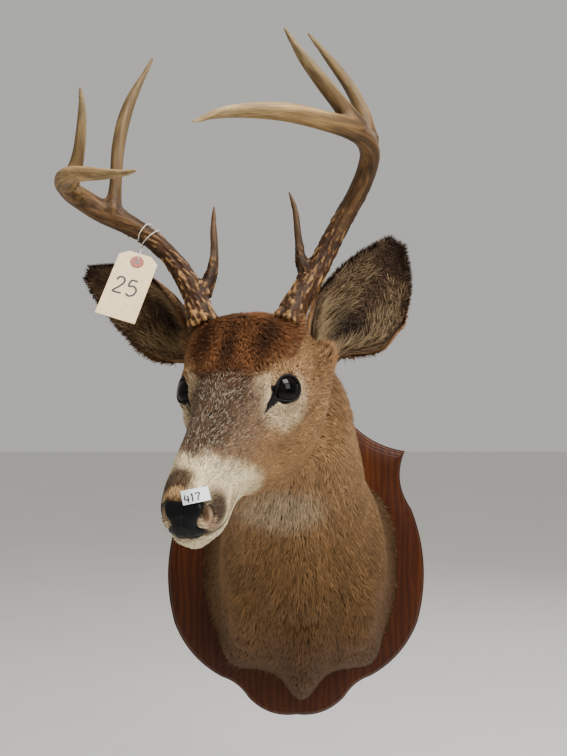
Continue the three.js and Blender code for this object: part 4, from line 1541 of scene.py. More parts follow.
MUZZLE_MARKS = (
    Mark((165, -8, 12), (17, 15, 12), "412a1a", 0.95, 0.4),  # dark top of the muzzle
    Mark((171, 22, -9), (17, 12, 17), "38251a", 0.95, 0.6, True),  # behind the nostril
    Mark((140, 24, -27), (14, 9, 7), "6e5840", 0.5, 0.5, True),
    Mark((175, -8, 7), (5, 10, 5), "ab875c", 0.85, 0.3),
    Mark((172, 0, -38), (30, 30, 14), "ead6b0", 1.0, 0.2),  # lips and chin
    Mark((110, 0, -62), (70, 26, 18), "cfb68e", 0.8, 0.4),  # underside of the jaw
    Mark((182, 19, -13), (8, 6, 8), "b8957a", 0.9, 0.3, True),  # rim of the nostril
)
BAND = "f4dcb0"
THROAT = Mark((-28, -290, 90), (46, 46, 23), "b09a7c", 0.9, 0.5)  # in the row's frame


def throat_share(points: Array) -> Array:
    """How much of the pale throat patch there is at points of the row's frame."""
    return THROAT.share(points, 0.1 * grain(points, 14.0, 41))


def coat_colour(points: Array) -> Array:
    """The coat's linear colour on head, neck and shoulders.

    Args:
        points: in the row's frame.
    Returns:
        A colour for each.
    """
    head = HEAD.to_head(points)
    wobble = 0.1 * grain(points, 9.0, 31) + 0.06 * grain(points, 4.0, 32)
    colour = toward(linear("624426"), "86643f", step(-150, 60, points[:, 2]))
    colour = toward(colour, "b08a62", step(20, 190, points[:, 2]))
    # The line of the brisket is darker. The deep creases are painted darker as painted shade, and the hair
    # by the board is greyer and, as painted shade, darker.
    keel = np.exp(-(((points[:, 0] - 3) / 24) ** 2)) * (1 - step(-60, 40, points[:, 2]))
    colour = colour * (1 - 0.22 * keel)[:, None]
    # Painted shade along the deep creases of neck and brisket.
    gap = np.full(len(points), 99.0)
    for path, _, rise in FOLDS:
        if rise < -5:
            line = spline(np.array(path, float), np.linspace(0, 1, 16)) * [1, 0, 1]
            away = np.linalg.norm((points * [1, 0, 1])[:, None] - line[None], axis=2).min(axis=1)
            gap = np.minimum(gap, away)
    colour = colour * (1 - 0.16 * np.exp(-((gap / 6) ** 2)))[:, None]
    # By the board the hair is greyer, and darker as painted shade.
    colour = toward(colour, "644a32", step(-130, -40, points[:, 1]) * 0.7)
    on_head = step(-95, -50, head[:, 0]) * step(-130, -90, head[:, 2])
    colour = toward(colour, "a57f57", on_head)
    colour = toward(colour, THROAT.colour, throat_share(points))
    for mark in FACE_MARKS:
        colour = toward(colour, mark.colour, mark.share(head, wobble))
    # The pale band of the muzzle slants back and down from the bridge to the lips.
    edge = head[:, 0] - np.maximum(146 - 1.15 * (22.5 - head[:, 2]), 64) + 60 * wobble
    colour = toward(colour, BAND, step(-15, 10, edge) * 0.95)
    for mark in MUZZLE_MARKS:
        colour = toward(colour, mark.colour, mark.share(head, wobble))
    # The line of the lips is painted dark, as painted shade in the mouth's groove, from the nostril to near
    # the corner of the mouth.
    ahead, _, level = np.array(MOUTH[::-1], float).T
    gap = np.abs(head[:, 2] - np.interp(head[:, 0], ahead, level))
    line = (1 - step(0.9, 2.8, gap)) * step(104, 126, head[:, 0]) * 0.7
    line = line * step(8, 14, np.abs(head[:, 1])) * (head[:, 0] < 184)
    return toward(colour, "3c2a1c", line)


def grizzle_share(points: Array) -> Array:
    """How many of the hairs are white-tipped: forehead and bridge, fading at the sides.

    Args:
        points: in the row's frame.
    Returns:
        A share for each, from 0 to 1.
    """
    head = HEAD.to_head(points)
    top = step(-20, 8, head[:, 2]) * step(16, 36, head[:, 0]) * (1 - step(140, 156, head[:, 0]))
    return top * (0.6 + 0.4 * grain(points, 12.0, 43))


EAR_DARK, EAR_FOOT, EAR_BACK, EAR_SKIN, EAR_HAIR = (
    linear(c) for c in ("2c1d13", "94704a", "62492f", "463426", "6a553e")
)


def canal_share(u: Array, v: Array) -> Array:
    """How deep in the shade of the ear's hollow a place lies, from 0 to 1."""
    return (1 - step(0.22, 0.56, u)) * (1 - step(0.3, 0.8, np.abs(v)))


def ear_colour(u: Array, v: Array, depth: Array, points: Array) -> Array:
    """The ear's linear colour: dark rim and tip, tan inside, grey-brown back.

    Args:
        u: from 0 at the root to 1 at the tip.
        v: from -1 to 1 across.
        depth: less than 0.5 on the inner face.
        points: the same places in the row's frame, for the rim's uneven edge.
    Returns:
        One colour to a place.
    """
    blot = 0.08 * grain(points, 8.0, 51)
    inside = toward(EAR_HAIR, EAR_SKIN, np.maximum(1 - np.abs(v), 0) ** 0.5)
    # Painted shade deep in the ear's hollow.
    inside = inside * (1 - 0.75 * canal_share(u, v))[:, None]
    back = toward(EAR_FOOT, EAR_BACK, step(0.15, 0.75, u))
    colour = np.where(depth[:, None] < 0.5, inside, back)
    edge = np.maximum(step(0.88, 1.0, np.abs(v) + blot), step(0.78, 0.97, u + 1.5 * blot))
    return toward(colour, EAR_DARK, edge * step(0.2, 0.45, u))


# ---------------------------------------------------------------- skin


@dataclass(frozen=True)
class Dent:
    """A bell-shaped rise or hollow of the face, in the head's frame."""

    centre: Triple
    size: Triple
    rise: float
    both: bool = True


DENTS = (
    Dent((2, 44, 31), (20, 13, 9), 3.2),  # brow
    Dent((-32, 56, 22), (16, 12, 14), -3.0),  # temple
    Dent((22, 0, 52), (26, 15, 14), -2.4, False),  # dip between the brows
    Dent((-30, 0, 62), (24, 30, 14), 2.0, False),  # crown
    Dent((52, 31, 6), (24, 10, 11), -2.8),  # hollow beside the bridge
    Dent((98, 26, 8), (24, 8, 12), -1.8),
    Dent((-26, 62, -56), (30, 16, 26), 3.0),  # cheek muscle
    Dent((34, 38, -52), (20, 12, 18), -4.2),  # hollow in front of it
    Dent((160, 24, -16), (16, 9, 11), 2.6),  # whisker pad
    Dent((120, 27, -14), (20, 11, 16), -2.2),
    Dent((182, 17, -3), (9, 8, 8), 1.6),  # wing of the nostril
    Dent((172, 0, -48), (12, 13, 8), 1.8, False),  # chin
    Dent((150, 18, -40), (22, 8, 9), 3.0),  # lower lip
    Dent((66, 0, -78), (40, 11, 10), -2.5, False),  # between the jaw bones
)
CREASES = (  # path, width and rise, each on both sides
    (((46, 40, -20), (22, 52, -24), (-8, 61, -22), (-40, 67, -10)), 9.0, 2.8),  # cheekbone
    (((30, 46, -20), (10, 55, -30), (-12, 62, -34)), 5.0, -1.6),  # fold below it
    (((40, 20, 40), (100, 11, 31), (150, 9, 22)), 6.0, 1.0),  # edge of the bridge
)
MOUTH = ((187, 0, -25), (184, 10, -24), (178, 17, -26), (165, 21, -32), (147, 22.5, -36),
         (125, 25, -34), (103, 28, -27))
DUCT = ((21.5, 47, 14.7), (26, 45.2, 11), (29.5, 42.8, 8.4), (33.3, 40.3, 6.6),
        (36.5, 38, 4), (40.5, 36, 0.5))
DUCT_WIDTHS = (5.0, 4.9, 4.0, 2.9, 1.8, 0.5)  # half of the bare skin's width at each point
# Folds of neck and brisket, in the row's frame, with width and rise.
FOLDS = (
    (((27, -300, 174), (16, -306, 110), (46, -300, 68)), 8.0, -3.6),
    (((52, -290, 190), (40, -300, 120), (62, -270, 60)), 10.0, 2.0),
    (((-112, -300, 190), (-108, -300, 120), (-96, -296, 70)), 9.0, -3.0),
    (((-4, -252, 50), (-8, -232, 0), (-8, -214, -26)), 24.0, 5.0),  # swell above the brisket
    (((-40, -226, 8), (-28, -208, -32), (-8, -200, -48), (14, -206, -40), (30, -220, -8)), 7.0, 4.5),
    (((-2, -180, -74), (-2, -140, -112), (0, -96, -146)), 16.0, 5.0),  # keel
    (((-54, -226, 20), (-50, -204, -16), (-44, -181, -53), (-38, -128, -107)), 8.0, -11.0),
    (((44, -240, 30), (38, -206, -22), (41, -175, -67), (44, -115, -117)), 8.0, -11.0),
    (((-78, -180, -34), (-76, -134, -88)), 20.0, 5.0),
    (((76, -180, -34), (74, -140, -88)), 20.0, 5.0),
    (((50, -272, 80), (58, -250, 30), (66, -222, -20)), 7.0, -3.0),
)


@dataclass(frozen=True)
class Face:
    """Places of eye, nostril and mouth in the head's frame."""

    gaze: Triple = (0.52, 0.75, 0.41)
    toward_duct: Triple = (0.86, -0.48, -0.35)
    socket: float = 19.4
    opening: Triple = (15.0, 12.6, 10.0)
    shift: Triple = (2.0, 2.0, 15.5)  # the opening's middle, from the ball's
    nostril: Triple = (180.5, 17.5, -8.0)
    nostril_size: Triple = (9.0, 4.2, 8.0)
    mouth_width: float = 2.3
    mouth_rise: float = -3.0

    def eye_axes(self, sign: int) -> Array:
        """Rows are towards the duct, up the eye, and out of it.

        Args:
            sign: the side's sign.
        Returns:
            The three directions in the head's frame.
        """
        out = unit(np.array(self.gaze) * [1, sign, 1])
        duct = np.array(self.toward_duct) * [1, sign, 1]
        duct = unit(duct - out * (duct @ out))
        return np.stack([duct, np.cross(duct, out) * sign, out])

    def eye_centre(self, sign: int) -> Array:
        """The ball's middle."""
        return np.array(HEAD.eye) * [1, sign, 1]

    def open_nostril(self, clay: Clay, sign: int, inset: float, blend: float) -> None:
        """Carves a nostril, turned outward, with its width and height less by an inset.

        Args:
            clay: what it is carved from.
            sign: the side's sign.
            inset: how much less.
            blend: how far its rim is rounded.
        """
        turn = np.array([[0.8, 0.6 * sign, 0], [-0.6 * sign, 0.8, 0], [0, 0, 1]])
        size = np.array(self.nostril_size) - [0, inset, inset]
        place = HEAD.side_to_row(self.nostril, sign)
        clay.egg(place, turn @ HEAD.basis(), size, blend, carve=True)

    def mouth(self, sign: int) -> Array:
        """One side of the line of the mouth, in the row's frame."""
        return HEAD.side_to_row(spline(MOUTH, np.linspace(0, 1, 20)), sign)

    def press_dents(self, clay: Clay, past: float) -> None:
        """Presses into clay the dents whose middle is further ahead than a place."""
        for dent in DENTS:
            for sign in SIGNS if dent.both else (1,):
                if dent.centre[0] > past:
                    place = HEAD.side_to_row(dent.centre, sign)
                    clay.press(place, HEAD.basis(), dent.size, dent.rise)


FACE = Face()


@dataclass
class Skin:
    """One skin over head, neck and ears, inside the solids by the depth of the coat."""

    low: Triple = (-240.0, -592.0, -212.0)
    high: Triple = (156.0, -10.0, 336.0)
    pitch: float = 1.8
    merge: float = 0.001  # the share by which near-flat faces are merged
    back: float = -20.2  # the board's front
    stump: float = -12.0  # where the trunk is closed, within the board
    head_blend: float = 15.0
    antler_foot: tuple[Triple, Triple] = ((-54, 34, 22), (-66, 43, 42))
    antler_radii: tuple[float, float] = (22.0, 15.5)
    antler_blend: float = 10.0
    ear_radii: tuple[float, float] = (26.0, 15.0)
    ear_blend: float = 22.0
    eye_blend: float = 11.0
    reach: float = 13.5  # how near the surface cells are that the coat's depth moves
    duct_width: float = 3.0
    duct_rise: float = -3.0
    eye_black: str = "0d0a09"
    nostril_pink: str = "a08468"
    outside: Clay | None = None  # the coat's outside, once modelled
    duct: Array | None = None  # the left duct's line on the skin, in the head's frame

    def model(self) -> Clay:
        """The outside of the coat, with every rise, hollow and crease."""
        clay = Clay(self.low, self.high, self.pitch)
        points, faces = TRUNK.surface()
        points[points[:, 1] > self.back - 0.3, 1] = self.stump
        clay.add_body(points, faces, 1.0)
        clay.add_body(*HEAD.surface(), self.head_blend)
        for sign in SIGNS:
            low, high = (HEAD.side_to_row(place, sign) for place in self.antler_foot)
            clay.bar(low, high, self.antler_radii, self.antler_blend)
        for ear in EARS:
            along, facing, _ = ear.axes()
            start = np.array(ear.root) + facing * 8
            ends = start - along * 0.24, start + along * 0.03
            clay.bar(*ends, self.ear_radii, self.ear_blend)
        for sign in SIGNS:
            centre = HEAD.to_row(FACE.eye_centre(sign))
            axes = FACE.eye_axes(sign) @ HEAD.basis()
            clay.egg(centre, axes, (FACE.socket,) * 3, self.eye_blend)
        FACE.press_dents(clay, -math.inf)
        for path, width, rise in CREASES:
            for sign in SIGNS:
                clay.groove(clay.snap(HEAD.side_to_row(path, sign)), width, rise)
        for path, width, rise in FOLDS:
            line = spline(path, np.linspace(0, 1, 12))
            clay.groove(clay.snap(line), width, rise)
        for sign in SIGNS:
            clay.groove(clay.snap(FACE.mouth(sign)), FACE.mouth_width, FACE.mouth_rise)
        return clay

    def draw_in(self, clay: Clay) -> None:
        """Moves the surface inward by the coat's depth, and opens eyes, ducts and nostrils.

        Args:
            clay: the outside of the coat, which becomes the skin.
        """
        near = np.abs(clay.value) < self.reach
        cells = np.argwhere(near) * clay.pitch + clay.low
        clay.value[near] += coat_depth(cells)
        for sign in SIGNS:
            axes = FACE.eye_axes(sign)
            centre = FACE.eye_centre(sign) + np.array(FACE.shift) @ axes
            clay.egg(HEAD.to_row(centre), axes @ HEAD.basis(), FACE.opening, 3.0, carve=True)
            line = clay.snap(HEAD.side_to_row(spline(DUCT, np.linspace(0, 1, 16)), sign))
            if sign > 0:
                self.duct = HEAD.to_head(line)
            clay.groove(line, self.duct_width, self.duct_rise)
            FACE.open_nostril(clay, sign, 0.0, 2.0)
        y = np.arange(clay.count[1]) * clay.pitch + clay.low[1]
        clay.value = np.maximum(clay.value, (y - self.back)[None, :, None]).astype(np.float32)

    def bare(self, points: Array) -> Array:
        """How bare the skin is: 1 round the eye, along the duct and in the nostril.

        Args:
            points: in the row's frame.
        Returns:
            A share for each.
        """
        side = HEAD.to_head(points)
        side[:, 1] = np.abs(side[:, 1])
        local = (side - FACE.eye_centre(1)) @ FACE.eye_axes(1).T
        size = np.array(FACE.opening) + 1.3
        rim = np.linalg.norm((local - FACE.shift) / size, axis=1)
        lid = 1 - step(0.97, 1.06, rim)
        wide = smooth(DUCT_WIDTHS, np.linspace(0, 1, len(self.duct))) + 1.4
        gap = (np.linalg.norm(side[:, None] - self.duct[None], axis=2) - wide).min(axis=1)
        hole = np.linalg.norm((side - FACE.nostril) / (np.array(FACE.nostril_size) + 1), axis=1)
        return np.maximum.reduce([lid, 1 - step(-0.4, 0.5, gap), 1 - step(0.95, 1.1, hole)])

    def build(self) -> Body:
        """Makes the skin, and gives its head-and-neck part for the coat to stand on."""
        outside = self.model()
        clay = Clay(self.low, self.high, self.pitch)
        clay.value = outside.value.copy()
        self.draw_in(clay)
        points, faces = clay.surface(self.merge)
        colour = coat_colour(points) * 0.9
        head = HEAD.to_head(points)
        # The nostril's lining is pink, with painted shade that darkens it upward into the hollow.
        pink_and_shade = linear(self.nostril_pink) * (0.25 + 0.75 * step(0, -12, head[:, 2]))[:, None]
        naked = np.where(head[:, :1] > 150, pink_and_shade, linear(self.eye_black))
        pad = (1 - step(0.4, 1.4, NosePad().inside(head))) * step(160, 164, head[:, 0])
        colour = colour * (1 - 0.97 * pad)[:, None]
        colour = toward(colour, naked, self.bare(points))
        all_points, all_colours, all_faces = [points], [colour], list(faces)
        start = len(points)
        for ear in EARS:
            own, own_faces, u, v, depth = ear.shell()
            all_points.append(own)
            all_colours.append(ear_colour(u, v, depth, own) * 0.8)
            all_faces += [f + start for f in own_faces]
            start += len(own)
        joined = [np.vstack([f for f in all_faces if f.shape[1] == n]) for n in (4, 3)]
        whole, colours = np.vstack(all_points), np.vstack(all_colours)
        skin = add_piece("whitetail_skin", whole, joined, SKIN, "coat", colour=colours)
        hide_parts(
            "shoulders", "neck", "head", "muzzle", "lower_jaw", "ear_left", "ear_right"
        )
        self.outside = outside
        return points, faces


def ear_root_share(points: Array, ears: tuple[Ear, ...] = EARS) -> Array:
    """How near points are to the foot of an ear, where the hair is longer: 1 at it.

    Args:
        points: in the row's frame.
        ears: the ears to look at.
    Returns:
        A share for each, from 0 to 1.
    """
    feet = [np.array(e.root) + 0.08 * (np.array(e.tip) - e.root) for e in ears]
    gap = np.min([np.linalg.norm(points - foot, axis=1) for foot in feet], axis=0)
    return np.exp(-((gap / 27) ** 2))


def coat_depth(points: Array) -> Array:
    """How deep the coat lies over the skin, in millimetres.

    Args:
        points: in the row's frame.
    Returns:
        A depth for each.
    """
    head = HEAD.to_head(points)
    along = np.interp(head[:, 0], (-250, -150, -90, -40, 20, 80, 130, 170),
                      (9, 8, 6.5, 4.5, 3.2, 2.4, 1.8, 1.2))
    below = np.interp(head[:, 2], (-330, -200, -120, -85), (9, 8, 5.5, 1.2))
    return np.maximum(along, below)


# ---------------------------------------------------------------- eyes, nose and label


@dataclass(frozen=True)
class Eye:
    """A glass ball, and the bare black rim of its lids."""

    side: Side
    rings: int = 60
    sides: int = 96
    lid_reach: float = 17.3
    lid_thick: float = 1.5
    iris: str = "0e0805"
    iris_edge: str = "050302"

    def axes(self) -> Array:
        """The eye's directions in the row's frame."""
        return FACE.eye_axes(self.side.value) @ HEAD.basis()

    def directions(self, across: Array, up: Array) -> Array:
        """Unit directions in the row's frame for angles off the gaze, in degrees.

        Args:
            across: degrees toward the duct.
            up: degrees up.
        Returns:
            A direction for each.
        """
        away = np.radians(np.hypot(across, up))
        turn = np.arctan2(up, across)
        local = np.stack(
            [np.sin(away) * np.cos(turn), np.sin(away) * np.sin(turn), np.cos(away)], axis=-1
        )
        return local @ self.axes()

    def lid_loop(self, turn: Array) -> tuple[Array, Array]:
        """The almond of the lids in degrees off the gaze, at angles round it.

        It is an ellipse with a flatter lower half, drawn out to a point towards the duct.

        Args:
            turn: angles round the gaze, in radians.
        Returns:
            Degrees toward the duct, and degrees up.
        """
        point = np.maximum(np.cos(turn), 0)
        across = np.cos(turn) * (47 + 15 * point**3)
        up = np.sin(turn) * np.where(np.sin(turn) > 0, 52, 40) * (1 - 0.2 * point**2)
        return across, up + 14 * point**3

    def build(self) -> None:
        """Makes the ball with its sideways pupil, the lids and the lashes."""
        centre = HEAD.to_row(FACE.eye_centre(self.side.value))
        away = np.linspace(1.5, 178.5, self.rings)[:, None]
        turn = full_turn(self.sides)
        ways = self.directions(away * np.cos(turn), away * np.sin(turn))
        points, faces = closed(centre + ways * (HEAD.eye_radius - 0.2))
        local = (points - centre) @ self.axes().T
        pupil = np.hypot(local[:, 0] / 8.5, local[:, 1] / 4.5)[:, None]
        from_middle = np.hypot(local[:, 0], local[:, 1])
        colour = toward(linear(self.iris), self.iris_edge, step(9.0, 13.0, from_middle))
        colour = colour * step(0.85, 1.1, pupil)
        name = f"eye_{self.side.word}"
        ball = add_piece(f"{name}_ball", points, faces, EYE_GLASS, "glass_eye", colour=colour)
        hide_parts(name)
        turn = np.linspace(0, 2 * math.pi, 121)
        line = centre + self.directions(*self.lid_loop(turn)) * self.lid_reach
        radii = self.lid_thick * (1 + 0.25 * np.sin(turn))
        points, faces = closed(tube_rings(line, radii, 12))
        turn = np.linspace(0.35, 2.7, 46)
        root = centre + self.directions(*self.lid_loop(turn)) * (self.lid_reach + 1.0)
        out = unit(root - centre)
        up = unit(self.directions(*(1.3 * a for a in self.lid_loop(turn))))
        lash = Tufts(root, laid_flat(up, out), out, *(np.full(len(turn), size) for size in (6.5, 0.5, 3.6)))
        own, own_faces = lash.mesh()
        faces[1] = np.vstack([faces[1], own_faces + len(points)])
        points = np.vstack([points, own])
        add_piece(f"eyelids_{self.side.word}", points, faces, LID_SKIN, "nose_skin")


@dataclass(frozen=True)
class Tufts:
    """Hair tufts: slim closed spindles with a ridge, rising from the root and lying over.

    The root, the way that it lies and the skin's outward direction are rows of three, and
    length, width and rise are one number to a tuft.
    """

    root: Array
    way: Array
    out: Array
    length: Array
    width: Array
    rise: Array
    sink: float = 0.5  # how far the root stands in the skin

    def mesh(self) -> tuple[Array, Array]:
        """Five points and six triangles to a tuft: root, two sides, ridge and tip."""
        side = unit(np.cross(self.out, self.way))
        length, width, rise = (a[:, None] for a in (self.length, self.width, self.rise))
        middle = self.root + self.way * length * 0.42 + self.out * rise * 0.74
        points = np.stack(
            [
                self.root - self.out * self.sink,
                middle + side * width / 2,
                middle - side * width / 2,
                middle + self.out * width * 0.3,
                self.root + self.way * length + self.out * rise,
            ],
            axis=1,
        )
        one = np.array([(0, 3, 1), (0, 2, 3), (3, 4, 1), (3, 2, 4), (0, 1, 2), (1, 4, 2)])
        faces = (one[None] + 5 * np.arange(len(points))[:, None, None]).reshape(-1, 3)
        return points.reshape(-1, 3), faces

    def patches(self, place: Array) -> Array:
        """A patch of the map for each tuft, at its root's place on the skin's unwrap."""
        corner = np.array([(0.5, 0), (0, 0.45), (1, 0.45), (0.5, 0.5), (0.5, 1)]) * PATCH
        return (place[:, None] + corner[None]).reshape(-1, 2)

    def colours(self, colour: Array, dark: float, light: float) -> Array:
        """Each point's colour: darker at the root, and lighter at the tip."""
        shade = np.array([dark, 0.9, 0.9, 1.0, light])[None, :, None]
        return (colour[:, None] * shade).reshape(-1, 3)

    def part(self, chosen: Array) -> "Tufts":
        """Only the chosen tufts."""
        fields = (self.root, self.way, self.out, self.length, self.width, self.rise)
        return Tufts(*(a[chosen] for a in fields), self.sink)


@dataclass(frozen=True)
class NosePad:
    """The naked black pad between the nostrils, in its own finer clay."""

    pitch: float = 0.9
    # Half of the outline seen from the front: y and z in the head's frame.
    outline: tuple[tuple[float, float], ...] = (
        (0, 4.2), (8, 5.0), (14, 4.0), (17, 0.5), (16, -4.5), (11.5, -9), (10.8, -13.5),
        (13, -17), (16.5, -19.5), (15.5, -24), (9, -27), (0, -26.2),
    )
    back: float = 160.0
    middle: Triple = (176.0, 0.0, -12.0)
    reach: float = 42.0
    proud: float = 0.5  # how far it stands out of the muzzle's form
    split: tuple[Triple, ...] = ((190, 0, -4), (190, 0, -14), (190, 0, -25))

    def inside(self, head: Array) -> Array:
        """Signed distance to the outline, seen from the front; less than 0 within.

        Args:
            head: points in the head's frame.
        Returns:
            A distance for each.
        """
        place = np.stack([np.abs(head[..., 1]), head[..., 2]], axis=-1)
        corners = np.array(self.outline, float)
        near = np.full(place.shape[:-1], np.inf)
        crossed = np.zeros(place.shape[:-1], int)
        for a, b in zip(corners[:-1], corners[1:]):
            near = np.minimum(near, np.linalg.norm(from_segment(place, a, b)[0], axis=-1))
            spans = (a[1] > place[..., 1]) != (b[1] > place[..., 1])
            at = a[0] + (place[..., 1] - a[1]) / (b[1] - a[1]) * (b[0] - a[0])
            crossed += spans & (place[..., 0] < at)
        return np.where(crossed % 2 == 1, -near, near)

    def build(self) -> None:
        """Cuts the pad out of the muzzle's form and rounds its rim."""
        middle = HEAD.to_row(self.middle)
        clay = Clay(middle - self.reach, middle + self.reach, self.pitch)
        clay.add_body(*HEAD.surface(), 1.0)
        FACE.press_dents(clay, 150.0)
        for sign in SIGNS:
            clay.groove(FACE.mouth(sign), FACE.mouth_width, FACE.mouth_rise)
            FACE.open_nostril(clay, sign, 1.2, 3.0)
        clay.groove(clay.snap(HEAD.to_row(self.split)), 1.2, -1.3)
        part, cells = clay.box(middle, 80.0)
        head = HEAD.to_head(cells)
        rim = np.maximum(self.inside(head), self.back - head[..., 0])
        clay.value -= self.proud
        clay.value *= -1
        clay.join(part, -rim, 3.0)
        clay.value *= -1
        points, faces = clay.surface()
        pad = add_piece("nose_pad_skin", points, faces, NOSE_SKIN, "nose_skin")
        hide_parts("nose_pad")


@dataclass(frozen=True)
class Label:
    """A small white paper label stuck on the muzzle, with a plain number."""

    # Its corners in pixels of the view: top left, top right, bottom right, bottom left.
    corners: tuple[tuple[float, float], ...] = (
        (180.4, 491.2), (207.4, 486.0), (211.0, 499.8), (183.3, 505.5)
    )
    thickness: float = 0.35
    lift: float = 1.6
    start: float = 690.0  # how far from the camera the search for the coat begins
    columns: int = 33
    rows: int = 17
    strokes: tuple[tuple[tuple[float, float], ...], ...] = (
        ((0.14, 0.66), (0.10, 0.36), (0.16, 0.32), (0.26, 0.34)),
        ((0.23, 0.58), (0.225, 0.4), (0.22, 0.12)),
        ((0.34, 0.58), (0.38, 0.66), (0.375, 0.4), (0.37, 0.14)),
        ((0.49, 0.62), (0.56, 0.66), (0.65, 0.64), (0.59, 0.4), (0.55, 0.14)),
    )
    ink: float = 0.55
    stroke_samples: int = 24

    def place(self, across: Array, up: Array) -> Array:
        """Places in the view of points of the label, as shares from its left and its foot.

        Args:
            across: from 0 at the left to 1.
            up: from 0 at the foot to 1.
        Returns:
            Pixels across and down the view.
        """
        a, b, c, d = np.array(self.corners)
        across, up = across[..., None], up[..., None]
        return (d + (c - d) * across) * (1 - up) + (a + (b - a) * across) * up

    def on_coat(self, clay: Clay, seen: Array) -> Array:
        """Follows the camera's rays to the coat, a little proud of it.

        Args:
            clay: the outside of the coat.
            seen: places in the view, in pixels from its upper left corner.
        Returns:
            A point for each.
        """
        studio = Studio()
        right, up, ahead = studio.axes()
        shift = (seen - np.array(studio.view) / 2) / studio.focal
        ways = unit(ahead + shift[:, :1] * right - shift[:, 1:] * up)
        points = np.array(studio.place) + ways * self.start
        for _ in range(60):
            points += ways * (clay.read(points) - self.lift)[:, None] * 0.9
        return points

    def build(self, clay: Clay) -> None:
        """Makes the paper as a thin closed sheet, and the ink as flat bars on it."""
        shares = np.linspace(0, 1, self.columns), np.linspace(0, 1, self.rows)
        seen = self.place(*np.meshgrid(*shares, indexing="ij"))
        low = self.on_coat(clay, seen.reshape(-1, 2)).reshape(self.columns, self.rows, 3)
        # The paper bends one way only: its rows share one curve and stay straight up it.
        bottom, top = low[:, :1], low[:, -1:]
        low = bottom + (top - bottom) * shares[1][None, :, None]
        out = unit(np.cross(np.gradient(low, axis=0), np.gradient(low, axis=1)))
        high = low + out * self.thickness
        body = closed(np.concatenate([low, high[:, ::-1]], axis=1))
        paper = add_piece("muzzle_label_paper", *body, PAPER, "paper_label")
        paper.data.set_sharp_from_angle(angle=math.radians(40))
        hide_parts("muzzle_label")
        bars = []
        for stroke in self.strokes:
            line = spline(stroke, np.linspace(0, 1, self.stroke_samples))
            x, y = line[:, 0] * (self.columns - 1), line[:, 1] * (self.rows - 1)
            i, j = np.minimum(x.astype(int), self.columns - 2), np.minimum(y.astype(int), self.rows - 2)
            s, t = (x - i)[:, None], (y - j)[:, None]
            on = [high[i + a, j + b] for a in (0, 1) for b in (0, 1)]
            middle = (on[0] * (1 - t) + on[1] * t) * (1 - s) + (on[2] * (1 - t) + on[3] * t) * s
            normal = out[i, j]
            side = unit(np.cross(normal, np.gradient(middle, axis=0))) * self.ink
            bars.append(ink_bar(middle, side, normal, 0.02, 0.12))
        add_ink("label_number", bars, "paper_label")


# ---------------------------------------------------------------- coat


def neck_middle(points: Array) -> Array:
    """Level of the middle of neck and shoulders, from how far points are from the wall."""
    return np.interp(points[:, 1], (-320, -250, -160, -20), (190, 150, 70, -25))


